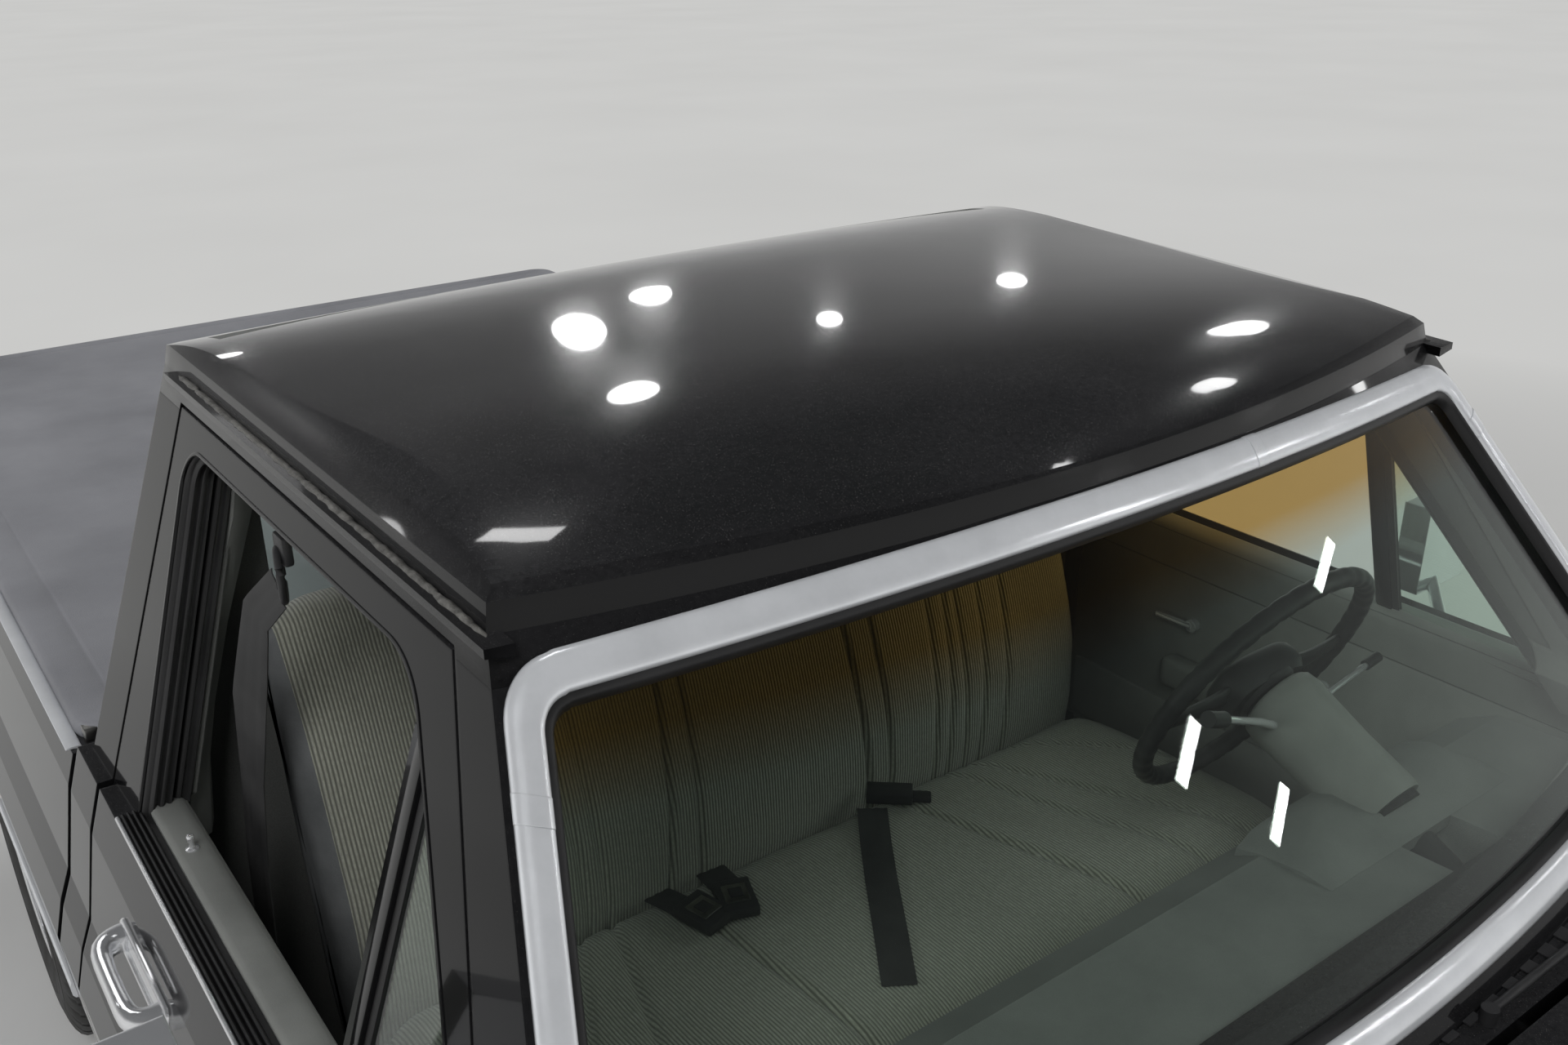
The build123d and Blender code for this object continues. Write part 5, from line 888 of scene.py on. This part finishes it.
# Window crank and inner handle: path, radius, sides
CRANK = (
    (mm((808, -480, 1020), (790, -480, 1020)), 0.014, 16),
    (mm((792, -480, 1020), (786, -440, 1000), (782, -390, 975)), 0.006, 12),
    (mm((786, -390, 975), (750, -390, 975)), 0.010, 16),
    (mm((808, -220, 1030), (795, -220, 1030)), 0.012, 16),
    (mm((797, -220, 1030), (790, -150, 1030)), 0.006, 12),
)
PILLAR_LINE = mm((655, 128, 1560), (665, 125, 1519), (716, 135, 1374), (757, 118, 1265), (778, 110, 1190),
                 (790, 105, 1100))
PILLAR_SECTION = mm((20, -22), (24, -6), (10, 22), (-12, 34), (-20, 26), (-8, -8))
STRAP = mm((716, -168, 1536), (728, -100, 1480), (735, -30, 1340), (742, 0, 1220), (750, 20, 1083),
           (757, 30, 900), (757, 35, 690))
TWIST = [(0.1, 1, 0.15), (0.25, 1, 0.1), (0.55, 0.85, 0), (0.3, 1, 0), (0.25, 1, 0), (0.2, 1, 0), (0.2, 1, 0)]


def side_place(sign, y, z, depth):
    """Point at a depth under the cab's side plane."""
    return (sign * (side(y, z) - depth), y, z)


def window_loop():
    """Window opening's edge as y and z from the rear foot round to the front foot."""
    foot, header = 1.184, 0.064
    rear = 0.05 + 0.16 * (roof_edge(0.05) - header - BELT)
    nose, nose_foot = (-0.472 - 0.75 * (EDGE_Z - z) for z in (1.595, foot))
    corners = [(0.05, foot), (rear, roof_edge(rear) - header), (nose, roof_edge(nose) - header),
               (nose_foot, foot)]
    points, normals = (row[7:53] for row in rounded_path(corners, [0.0005, 0.042, 0.110, 0.0005], 14))
    out_p, out_n = [], []
    for p, q, normal in zip(points, points[1:], normals):
        length = np.linalg.norm(q - p)
        steps = max(1, int(length / 0.025))
        along = (q - p) / max(1e-9, length)
        out_p += [p + (q - p) * k / steps for k in range(steps)]
        out_n += [normal if steps == 1 else np.array([-along[1], along[0]])] * steps
    out_p.append(points[-1])
    out_n.append(out_n[-1])
    middle = np.array([-0.25, 1.40])
    out_n = [n if n @ (p - middle) > 0 else -n for p, n in zip(out_p, out_n)]
    return list(zip(out_p, out_n))[2:-2]


def window_band(sign, section):
    """Closed section of (inward, depth) along the window opening's edge."""
    return loops_mesh([[side_place(sign, p[0] - n[0] * a, p[1] - n[1] * a, d) for a, d in section]
                       for p, n in window_loop()])


def window_post(sign, y, low, high, section):
    """Upright with a section of (backward, depth) in the cab's side plane."""
    return loops_mesh([[side_place(sign, y + a, z, d) for a, d in section]
                       for z in np.linspace(low, high, 12)])


def belt_strip(sign, section):
    """Section of (across, height) along the door's belt."""
    return loops_mesh([[(sign * x, y, z) for x, z in section] for y in np.linspace(-0.535, 0.060, 30)])


def top_pad(sign):
    """Grey pad on the door's top, eased down at both ends."""
    loops = []
    for y in np.linspace(-0.900, 0.085, 40):
        ease = 0.004 * math.exp(-((y - 0.085) / 0.02) ** 2) + 0.004 * math.exp(-((y + 0.900) / 0.02) ** 2)
        loops.append([(sign * x, y, z - (ease if z > BELT else 0)) for x, z in TOP_PAD])
    return loops_mesh(loops)


for label, sign in SIDES:
    door = "door_" + label
    make("glass_run_" + label, window_band(sign, CHANNEL), RUBBER, door, 50)
    make("window_bead_" + label, window_band(sign, BEAD), PAINT, door, 50)
    make("jamb_seal_" + label, window_band(sign, JAMB), RUBBER, "chassis", 50)
    make("belt_weatherstrip_" + label, belt_strip(sign, RIBS), RUBBER, door, 35)
    make("belt_moulding_" + label, belt_strip(sign, BELT_TRIM), CHROME, door, 50)
    make("glass_slot_" + label, belt_strip(sign, GLASS_SLOT), RUBBER, door)
    make("door_top_pad_" + label, top_pad(sign), GREY, door, 45)
    make("door_trim_panel_" + label, [
        box_part((sign * 0.8112, -0.905, 0.72), (sign * 0.8078, 0.075, 1.117), 0.0015),
        box_part((sign * 0.8080, -0.62, 0.905), (sign * 0.7700, -0.18, 0.965), 0.014, 3),
        box_part((sign * 0.8080, -0.87, 0.74), (sign * 0.7990, 0.04, 0.86), 0.004),
    ], GREY, door)
    make("lock_knob_" + label, spin_part(KNOB, (sign * 0.837, -0.072, 1.1950), "z", 20), CHROME, door)
    make("door_inner_handles_" + label,
         [tube_part(mirrored(sign, path), radius, count) for path, radius, count in CRANK], CHROME, door)
    make("division_bar_" + label, window_post(sign, -0.552, 1.196, 1.548, BAR), PAINT, door, 50)
    make("vent_seal_" + label, window_post(sign, -0.5665, 1.190, 1.552, VENT_SEAL), RUBBER, door, 50)
    make("pillar_trim_" + label, loops_mesh([[(sign * (x + a), y + b, z) for a, b in PILLAR_SECTION]
                                             for x, y, z in PILLAR_LINE]), GREY, "chassis", 50)
    make("shoulder_belt_" + label, strap_part(mirrored(sign, STRAP), 0.047, mirrored(sign, TWIST)), WEBBING,
         "chassis", 60)
    eye = [(sign * (0.712 - 0.006 * c), -0.172 + 0.018 * c, 1.552 + 0.030 * s) for c, s in oval(24, 1, 1)]
    make("belt_guide_" + label, [
        tube_part(eye, 0.0045, 10, closed=True),
        box_part((sign * 0.700, -0.192, 1.566), (sign * 0.712, -0.160, 1.600), 0.004),
    ], DARK)
    make("belt_reel_" + label,
         box_part((sign * 0.772, 0.000, 0.665), (sign * 0.735, 0.095, 0.760), 0.010, 3), DARK)


# ---------- sealant in the drip rails

def sealant(sign, count=150):
    """Lumpy bead along the drip rail, thin at both ends."""
    loops = []
    for k in range(count):
        y = -0.648 + (0.188 + 0.648) * k / (count - 1)
        z = roof_edge(y)
        taper = min(1.0, k / 6, (count - 1 - k) / 6) * 0.9 + 0.1
        lump = 1 + 0.35 * noise.noise(Vector((y * 45, sign, 0)))
        lump += 0.25 * noise.noise(Vector((y * 130, sign, 3)))
        radius = 0.0042 * lump * taper
        loop = []
        for c, s in oval(10, 1, 1):
            uneven = 1 + 0.25 * noise.noise(Vector((y * 90, c * 2, s * 2)))
            loop.append((sign * (side(y, z) + 0.0035 + radius * 1.25 * uneven * c), y,
                         z + 0.0015 + radius * uneven * s))
        loops.append(loop)
    return loops_mesh(loops)


for label, sign in SIDES:
    make("drip_rail_sealant_" + label, sealant(sign), SEAL, angle=60)


# ---------- steering wheel, column and dashboard

HUB_PLACE = Vector((0.400, -0.620, 1.240))
COLUMN_TILT = math.radians(25)
COLUMN_AXIS = Vector((0.0, math.cos(COLUMN_TILT), math.sin(COLUMN_TILT)))
COLUMN_UP = Vector((0.0, -math.sin(COLUMN_TILT), math.cos(COLUMN_TILT)))
WHEEL_RADIUS = 0.190


def on_column(x, up, along):
    """Point from the wheel's hub: across, up the wheel's face and along the column."""
    return tuple(HUB_PLACE + Vector((x, 0, 0)) + COLUMN_UP * up + COLUMN_AXIS * along)


def wheel_parts():
    """Steering wheel: grip with finger ridges, two padded spokes and a horn pad."""
    grip = []
    for k in range(160):
        t = TURN * k / 160
        thick = 0.0132 - 0.0012 * max(0.0, math.cos(t * 40))
        grip.append([on_column((WHEEL_RADIUS + a) * math.cos(t), (WHEEL_RADIUS + a) * math.sin(t), b)
                     for a, b in oval(16, thick, thick)])
    parts = [loops_mesh(grip, closed=True)]
    for sign in (1, -1):
        spoke = []
        for x in np.linspace(0.02, 0.186, 14):
            share = (x - 0.02) / 0.166
            half = 0.030 - 0.014 * math.sin(share * math.pi / 2)
            drop = 0.0048 * math.sin(share * math.pi)
            spoke.append([on_column(sign * x, a, b - drop) for a, b in oval(16, half, 0.009 - 0.003 * share)])
        parts.append(loops_mesh(spoke))
    pad = mm((-24, 860), (-12, 980), (4, 1000), (14, 970), (20, 880), (23, 600), (24, 200))
    parts.append(loops_mesh([[on_column(a, b, along) for a, b in oval(40, 0.074 * grow, 0.046 * grow, 0.6)]
                             for along, grow in pad]))
    return parts


def column_turned(rows, count, lift=0.0):
    """Round part on the column from (along, radius), its upper half lifted."""
    return loops_mesh([[on_column(a, b + (lift if b > 0 else 0), along)
                        for a, b in oval(count, radius, radius)] for along, radius in rows])


def column_tube(rows, radius, count):
    return tube_part([on_column(*row) for row in rows], radius, count)


wheel_piece = make("steering_wheel_rim", wheel_parts(), DARK, "steering_wheel", 45)
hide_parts("steering_wheel")
BOSS = mm((-30, 40), (-24, 46), (-20, 47), (-18, 40))
make("steering_boss", column_turned(BOSS, 32), DARK, "steering_wheel")
make("column_stalks", [
    column_tube(mm((-40, 10, -75), (-90, 35, -66), (-190, 85, -60)), 0.0055, 12),
    column_tube(mm((40, 4, -70), (90, 10, -64), (165, 20, -58)), 0.0045, 12),
], CHROME)
make("stalk_knobs", [
    column_tube(mm((-188, 84, -60), (-205, 91, -59), (-226, 101, -57.5)), 0.0105, 16),
    column_tube(mm((163, 19.8, -58), (192, 23.5, -56)), 0.0075, 16),
], DARK)
SHROUD = mm((-232, 49.5), (-225, 52), (-150, 51.5), (-85, 54), (-60, 56), (-42, 53), (-36, 47))
make("column_shroud", column_turned(SHROUD, 36, 0.006), GREY, angle=50)

_, dash_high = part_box("dashboard")
cluster = []
for x in np.linspace(0.205, 0.595, 16):
    lift = 0.026 * (1 - math.exp(-min(x - 0.205, 0.595 - x) / 0.02))
    cluster.append([(x, dash_high.y + y, dash_high.z + z + lift * share) for y, z, share in (
        (-0.150, -0.004, 0), (-0.110, -0.001, 0.6), (-0.050, -0.010, 1), (-0.020, -0.020, 0.8),
        (-0.018, -0.040, 0), (-0.060, -0.040, 0), (-0.150, -0.020, 0))])
make("cluster_hood", loops_mesh(cluster), DASH, angle=45)


def dash_face(z):
    """Place of the dashboard's face, which leans more below its edge."""
    edge = 1.010
    return -0.745 + (z - edge) * (0.10 if z > edge else 0.37)


def dash_panel(x0, x1, z0, z1, thick, radius=0.004):
    """Plate that follows the dashboard's face."""
    verts, faces = box_part((x0, -thick, z0), (x1, thick, z1), radius)
    return [(x, dash_face(z) + y, z) for x, y, z in verts], faces


def dial(x, z, r):
    """Bright ring round an instrument or knob."""
    section = ((0.0, r * 0.5), (0.0, r), (0.010, r * 0.97), (0.012, r * 0.9), (0.010, r * 0.8),
               (0.009, r * 0.5))
    return spin_part(section, (x, dash_face(z) + 0.004, z), "y", 28)


make("dash_bezels", [dash_panel(*row) for row in mm(
    (215, 340, 1015, 1095, 6), (460, 590, 1015, 1095, 6), (-60, 130, 1030, 1092, 8), (-60, 130, 950, 1015, 8),
    (-640, -180, 930, 1085, 5, 3), (140, 190, 960, 1080, 6))], DARK)
make("dash_rings", [dial(*row) for row in mm(
    (277.5, 1055, 33), (525, 1055, 33), (-40, 1061, 12), (110, 1061, 12), (165, 1055, 11), (165, 1015, 11),
    (165, 980, 11))], CHROME)
make("sun_visors", [turned_box((sign * 0.375, -0.545, 1.652), (0.420, 0.150, 0.016), 0.0, 0.007, 0.10)
                    for sign in (1, -1)], GREY)


# ---------- mirrors, handles and lamps

DOOR_LOCK = mm((0, 0.5), (0, 11), (3, 11), (4.5, 9), (3, 8.5), (3, 0.5))
BUTTON = mm((0, 0.5), (0, 12.5), (6, 12.5), (9, 10.5), (9, 0.5))
# Pull of the door handle: across, along the door, half thickness, half height
PULL = mm((921, -199, 16.5, 15), (929, -199, 16, 15), (937, -197.5, 15, 14.8), (944, -194, 13.8, 14.5),
          (950, -187, 12.6, 14), (953.5, -176, 11.8, 13.6), (955, -160, 11.2, 13.4),
          (955.4, -140, 10.8, 13.2), (955.6, -115, 10.6, 13))
PULL += [(x, -0.230 - y, thick, tall) for x, y, thick, tall in PULL[-2::-1]]


def door_pull(sign):
    """Oval bar bent out from the door and back."""
    loops = []
    for k, (x, y, thick, tall) in enumerate(PULL):
        x0, y0 = PULL[max(0, k - 1)][:2]
        x1, y1 = PULL[min(len(PULL) - 1, k + 1)][:2]
        along = np.array([x1 - x0, y1 - y0]) / math.hypot(x1 - x0, y1 - y0)
        loops.append([(sign * (x + along[1] * a), y - along[0] * a, 1.085 + b)
                      for a, b in oval(20, thick, tall, 0.7)])
    return loops_mesh(loops)


for label, sign in SIDES:
    door = "door_" + label
    face = stepped(mm((4, -486.2), (5, -484.6), (10, -484.2), (30, -484)), (sign * 1.020, 1.2395),
                   (0.065, 0.0745), 0.018, 0.002, lambda x, z, y: (x, y, z))
    make("mirror_face_" + label, loops_mesh(face), MIRROR, door, 30)
    make("mirror_gasket_" + label,
         box_part((sign * 0.908, -0.640, 1.100), (sign * 0.918, -0.570, 1.150), 0.004), RUBBER, door)
    make("door_lock_" + label, spin_part(DOOR_LOCK, (sign * 0.9235, -0.115, 1.030), "x", 24, sign),
         CHROME, door)
    make("handle_button_" + label, spin_part(BUTTON, (sign * 0.9200, -0.030, 1.085), "x", 24, sign),
         CHROME, door)
    piece = make("door_pull_" + label, door_pull(sign), CHROME, door, 60)
    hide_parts("door_handle_" + label)
    plate = [[(sign * (skin(z) + out), y, z) for y, z in rounded_rectangle(
        -0.115, 1.085, 0.103 - inset, 0.0185 - inset, min(0.012, 0.0185 - inset))]
        for inset, out in mm((0, -1), (0, 3), (1, 4.5), (3, 5), (6, 4.5), (7, 2))]
    make("handle_base_" + label, loops_mesh(plate), CHROME, door)

for label, sign in SIDES:
    rim = stepped(mm((0, 0), (0, 6), (5.6, 9), (14, 6), (14, 0)), (sign * 0.760, 0.862), (0.110, 0.077),
                  0.022, 0.003, lambda x, z, out: (x, -2.3405 - out, z))
    make("lamp_rim_" + label, loops_mesh(rim, closed=True), CHROME, angle=35)
    make("side_marker_front_" + label,
         box_part((sign * 0.952, -2.245, 0.800), (sign * 0.972, -2.125, 0.845), 0.006, 3), AMBER)
    make("side_marker_rear_" + label,
         box_part((sign * 0.944, 2.150, 0.835), (sign * 0.974, 2.250, 0.875), 0.006, 3), RED)


# ---------- tyres and wheels

TREAD_R, SHOULDER_R = 0.3555, 0.330
TYRE_SIDE = mm((-100, 196), (-106, 204), (-111, 222), (-116.5, 252), (-117.2, 280), (-115, 305), (-111, 326),
               (-106, 342), (-99, 354), (-90, 361))
TREAD_AT, = mm((-84.5, -78, -70, -62, -56, -52, -46, -38, -30, -24, -20, -14, -6))
TYRE_INSIDE = mm((96, 196), (90, 230), (92, 300), (70, 338), (0, 346), (-70, 338), (-92, 300), (-90, 230),
                 (-96, 196))
NUT = mm((32, 12.5), (36, 12.5), (36.5, 10.5), (52, 10.5), (54.5, 8.5), (54.5, 1))
FLANGE = mm((98, 190), (103, 190), (106.5, 196), (106.5, 200.5), (103, 203.5), (100, 198.5))


def tread_depth(reach, local):
    """Depth of the tread's grooves at a distance from the middle and a share of the pitch."""
    zig = 0.002 if local < 0.5 else -0.002
    if 0.049 < reach < 0.055 or 0.018 < reach + zig < 0.0215 or (reach >= 0.055 and local < 0.20):
        return 0.0085
    if 0.0215 <= reach <= 0.049 and (local + 0.35) % 1.0 < 0.18:
        return 0.0080
    if reach < 0.018 and (local + 0.1) % 1.0 < 0.14:
        return 0.0055
    return 0.0


def tyre_part(centre, flip, around=336, pitch=48):
    """All-terrain tyre: staggered blocks, zigzag grooves and shoulder lugs."""
    half = TYRE_SIDE + [(a, 0.3657 - 0.0036 * (abs(a) / 0.085) ** 2) for a in TREAD_AT]
    profile = half + [(-a, r) for a, r in half[::-1]] + TYRE_INSIDE
    loops = []
    for k in range(around):
        t = TURN * k / around
        loop = []
        for a, r in profile:
            reach, local = abs(a), (k * pitch / around + (0.5 if a > 0 else 0.0)) % 1.0
            if r > TREAD_R:
                r -= tread_depth(reach, local)
            elif r > SHOULDER_R and reach > 0.10 and local < 0.20:
                reach -= 0.0044
            reach *= flip if a > 0 else -flip
            loop.append((centre[0] + reach, centre[1] + r * math.cos(t), centre[2] + r * math.sin(t)))
        loops.append(loop)
    return loops_mesh(loops, closed=True)


def wheel_nut(hub, sign, t):
    """Six-sided nut on the bolt circle."""
    y, z = hub[1] + 0.083 * math.cos(t), hub[2] + 0.083 * math.sin(t)
    corners = [t + math.pi * j / 3 for j in range(6)]
    return loops_mesh([[(hub[0] + sign * a, y + r * math.cos(c), z + r * math.sin(c)) for c in corners]
                       for a, r in NUT])


for end, y in (("front", -1.645), ("rear", 1.325)):
    for label, sign in SIDES:
        name = "%s_%s" % (end, label)
        body = "wheel_" + name
        node = "tyre_" + name
        hub = (sign * 0.825, y, 0.366)
        tyre = make("tread_" + name, tyre_part(hub, sign), TYRE, body, 28)
        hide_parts(node)
        rings = [spin_part([(a + out, r + up) for out, up in mm((-1, -3), (0.4, -2), (0.4, 2), (-1, 3))],
                           hub, "x", 96, sign) for a, r in mm((116.8, 262), (116, 296))]
        make("sidewall_rings_" + name, rings, TYRE, body)
        nuts = [wheel_nut(hub, sign, TURN * (k + 0.5) / 8) for k in range(8)]
        make("wheel_nuts_" + name, nuts, CHROME, body, 30)
        stem = (hub[1] + 0.172 * math.cos(0.4), hub[2] + 0.172 * math.sin(0.4))
        make("valve_" + name, tube_part([(hub[0] + sign * 0.060, *stem), (
            hub[0] + sign * 0.092, stem[0] - 0.006, stem[1] - 0.003)], 0.0042, 12), RUBBER, body)
        make("rim_flange_" + name, spin_part(FLANGE, hub, "x", 96, sign), CHROME, body)


# ---------- body sides, nose and tail

MOULDING_SECTION = mm((776, -0.5), (777, 3.5), (782, 6.2), (798, 6.2), (803, 3.5), (804, -0.5))
for label, sign in SIDES:
    for place, y0, y1, body in (
        ("door", -0.995, 0.140, "door_" + label), ("bed_front", 0.305, 0.880, "chassis"),
        ("bed_rear", 1.770, 2.280, "chassis"), ("fender", -1.205, -1.030, "chassis"),
    ):
        loops = [[(sign * (skin(z) + out), y, z) for z, out in MOULDING_SECTION]
                 for y in np.linspace(y0, y1, max(3, int((y1 - y0) / 0.05)))]
        make("side_moulding_%s_%s" % (place, label), loops_mesh(loops), TRIM, body, 50)
lid = stepped(mm((0, -1), (0, 3), (4, 4.6), (40, 4.6), (75, 5)), (0.560, 0.985), (0.078, 0.078),
              0.022, 0.004, lambda y, z, out: (skin(z) + out, y, z))
make("fuel_door", loops_mesh(lid), PAINT, angle=30)

_, tail_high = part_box("tailgate")
gate = tail_high.y
make("tailgate_lines", [box_part((-0.560, gate - 0.002, z), (0.560, gate + 0.004, z + 0.006), 0.0015)
                        for z in (0.800, 1.060)], TRIM, "tailgate")
make("tailgate_latch_plate", box_part((-0.095, gate - 0.001, 1.082), (0.095, gate + 0.005, 1.132), 0.003),
     DARK, "tailgate")
make("tailgate_latch_pull", box_part((-0.080, gate + 0.004, 1.106), (0.080, gate + 0.016, 1.126), 0.005, 3),
     CHROME, "tailgate")

_, lamp_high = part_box("tail_lamps")
for label, sign in SIDES:
    panes = [box_part((sign * (lamp_high.x - 0.085), lamp_high.y - 0.001, z0),
                      (sign * (lamp_high.x - 0.014), lamp_high.y + 0.004, z1), 0.003)
             for z0, z1 in ((0.752, 0.842), (0.962, 1.050), (0.852, 0.952))]
    make("tail_lens_red_" + label, panes[:2], RED)
    make("tail_lens_clear_" + label, panes[2], CLEAR)

make("cowl_vents", [box_part((x - 0.011, -1.108, 1.1652), (x + 0.011, -1.062, 1.1672), 0.0006, 1)
                    for x in np.linspace(-0.56, 0.56, 29)], DARK)
BOLT = mm((-12, 1), (-12, 13), (-4, 13), (-0.8, 8), (-0.2, 1))
make("bumper_bolts", [spin_part(BOLT, (sign * x, end * 2.440, 0.555), "y", 24, end)
                      for end in (-1, 1) for sign in (1, -1) for x in (0.42, 0.78)], CHROME)


# ---------- camera and light

# Solved from the photo: place, angles in radians and focal length in pixels
CAMERA_PLACE = Vector((-1.0857, -1.5997, 2.1972))
YAW, PITCH, ROLL = 0.6286, 0.4067, -0.0136
FOCAL, WIDTH, HEIGHT = 1742.7, 1920, 1280
SENSOR = 36.0
view = Vector((math.sin(YAW) * math.cos(PITCH), math.cos(YAW) * math.cos(PITCH), -math.sin(PITCH)))
level = Vector((math.cos(YAW), -math.sin(YAW), 0.0))
upright = level.cross(view)
right = math.cos(ROLL) * level + math.sin(ROLL) * upright
above = -math.sin(ROLL) * level + math.cos(ROLL) * upright
camera_data = bpy.data.cameras.new("camera")
camera_data.sensor_width = SENSOR
camera_data.lens = SENSOR * FOCAL / WIDTH
camera_data.clip_start = 0.05
camera_data.clip_end = 900.0


def posed(place, across, up, back):
    """Matrix of an object at a place, with its own axes."""
    return Matrix.Translation(place) @ Matrix((across, up, back)).transposed().to_4x4()


camera = new_object("camera", camera_data)
camera.matrix_world = posed(CAMERA_PLACE, right, above, -view)
scene.camera = camera


def new_lamp(name, power, size, height=None):
    """Area lamp: a tube if a height is given, a disk if small, or else a square."""
    data = bpy.data.lights.new(name, "AREA")
    data.energy = power
    data.size = size
    if height:
        data.shape = "RECTANGLE"
        data.size_y = height
    elif size < 1:
        data.shape = "DISK"
    return new_object(name, data)


def aim(lamp, place, target):
    """Lamp put at a place and turned to a target."""
    lamp.location = place
    lamp.rotation_euler = (Vector(target) - Vector(place)).to_track_quat("-Z", "Y").to_euler()


def mirrored_at(node, px, py, reach):
    """Spot on a piece that the camera sees at a point of the picture, and what it mirrors at a distance."""
    ray = (view + right * (px - WIDTH / 2) / FOCAL + above * (HEIGHT / 2 - py) / FOCAL).normalized()
    hit, spot, normal, _ = node.ray_cast(CAMERA_PLACE, ray)
    if not hit:
        return None
    return spot, spot + (ray - 2 * ray.dot(normal) * normal).normalized() * reach


def highlight(name, node, px, py, reach, size, power):
    """Round ceiling lamp that shows on a piece at a point of the picture."""
    found = mirrored_at(node, px, py, reach)
    if found:
        aim(new_lamp(name, power, size), found[1], found[0])


def tube_light(name, node, start, end, reach, width, power):
    """Ceiling tube that shows on a piece between two points of the picture."""
    first, last = mirrored_at(node, *start, reach), mirrored_at(node, *end, reach)
    if not (first and last):
        return
    middle = (first[1] + last[1]) / 2
    back = (middle - (first[0] + last[0]) / 2).normalized()
    run = (last[1] - first[1]).normalized()
    run = (run - back * run.dot(back)).normalized()
    lamp = new_lamp(name, power, width, (first[1] - last[1]).length)
    lamp.matrix_world = posed(middle, run.cross(back), run, back)


for name, place, target, size, power in (
    ("key", (-3.0, -3.5, 5.5), (0, -0.3, 1.2), 2.6, 190),
    ("fill", (4.5, -3.5, 4.5), (0, -0.4, 1.0), 3.0, 110),
    ("back", (1.5, 6.0, 5.0), (0, 0.5, 1.2), 3.0, 150),
    ("side", (-5.5, 1.5, 3.0), (-0.8, 0, 1.1), 2.5, 80),
):
    lamp = new_lamp(name, power, size)
    aim(lamp, place, target)
    lamp.visible_glossy = lamp.visible_transmission = False
roof = NODES["cab_roof"]
for number, (px, py, size, power) in enumerate((
    (710, 402, 0.24, 1.6), (797, 358, 0.20, 1.1), (780, 484, 0.24, 1.7), (1018, 398, 0.12, 0.4),
    (1238, 350, 0.14, 0.4), (1515, 405, 0.28, 1.6), (1497, 463, 0.20, 1.0), (1668, 470, 0.12, 0.4),
    (486, 645, 0.16, 0.5), (275, 436, 0.14, 0.4), (1300, 570, 0.10, 0.3),
)):
    highlight("lamp_%d" % number, roof, px, py, 4.5, size, power)
for number, (start, end, width, power) in enumerate((
    ((1464, 880), (1446, 963), 0.075, 2.4), ((1573, 960), (1562, 1032), 0.06, 1.9),
    ((1627, 662), (1617, 724), 0.055, 1.4),
)):
    tube_light("tube_%d" % number, glass, start, end, 5.0, width, power)
pull = bpy.data.objects["door_pull_right"]
highlight("pull_lamp", pull, 126, 1190, 3.0, 0.45, 1.6)
highlight("foot_lamp", pull, 136, 1148, 3.0, 0.45, 1.6)
tube_light("roof_tube", roof, (597, 652), (676, 652), 4.5, 0.12, 1.6)

world = bpy.data.worlds.new("studio")
scene.world = world
world.use_nodes = True
w = Net(world.node_tree)
rise = w.split(w.add("TexCoord").outputs["Generated"])[2]
ramp = w.add("ValToRGB", {0: w.span(rise, -0.2, 1.0)})
stops = ramp.color_ramp.elements
stops[0].position, stops[0].color = 0.14, (0.66, 0.66, 0.65, 1)
stops[1].position, stops[1].color = 0.62, (0.045, 0.047, 0.05, 1)
for place, tone in ((0.22, 0.60), (0.36, 0.36), (0.50, 0.13)):
    stops.new(place).color = (tone, tone, tone, 1)
background = world.node_tree.nodes["Background"].inputs
w.put(background["Strength"], 0.9)
w.put(background["Color"], ramp.outputs[0])

FLOOR_HALF = 300
floor_mesh = bpy.data.meshes.new("floor")
floor_mesh.from_pydata([(u * FLOOR_HALF, v * FLOOR_HALF, 0) for u, v in ((-1, -1), (1, -1), (1, 1), (-1, 1))],
                       [], [(0, 1, 2, 3)])
floor = new_object("floor", floor_mesh)
floor_material, f = new_material("pale_floor")
f.shade(f.mix(f.cloud(0.6, 4, 0.6), (0.72, 0.72, 0.71), (0.80, 0.80, 0.79)), 0.6)
# Far from the truck the floor glows evenly for the eye, so it fades into the horizon
path = f.add("LightPath").outputs
seen = f.math("MAXIMUM", path["Is Camera Ray"], path["Is Glossy Ray"])
seen = f.math("MAXIMUM", seen, path["Is Transmission Ray"])
distance = f.add("VectorMath", {0: f.geometry()}, operation="LENGTH").outputs["Value"]
glow = f.add("Emission", {"Color": f.mix(f.noise(0.4, 3, 0.5), (0.56, 0.56, 0.55), (0.62, 0.62, 0.61))})
nodes = floor_material.node_tree.nodes
pale = f.add("MixShader", {0: f.mul(seen, f.span(distance, 2.6, 6.5)),
                           1: nodes["Principled BSDF"].outputs[0], 2: glow.outputs[0]})
f.put(nodes["Material Output"].inputs[0], pale.outputs[0])
floor_mesh.materials.append(floor_material)

scene.view_settings.view_transform = "Standard"
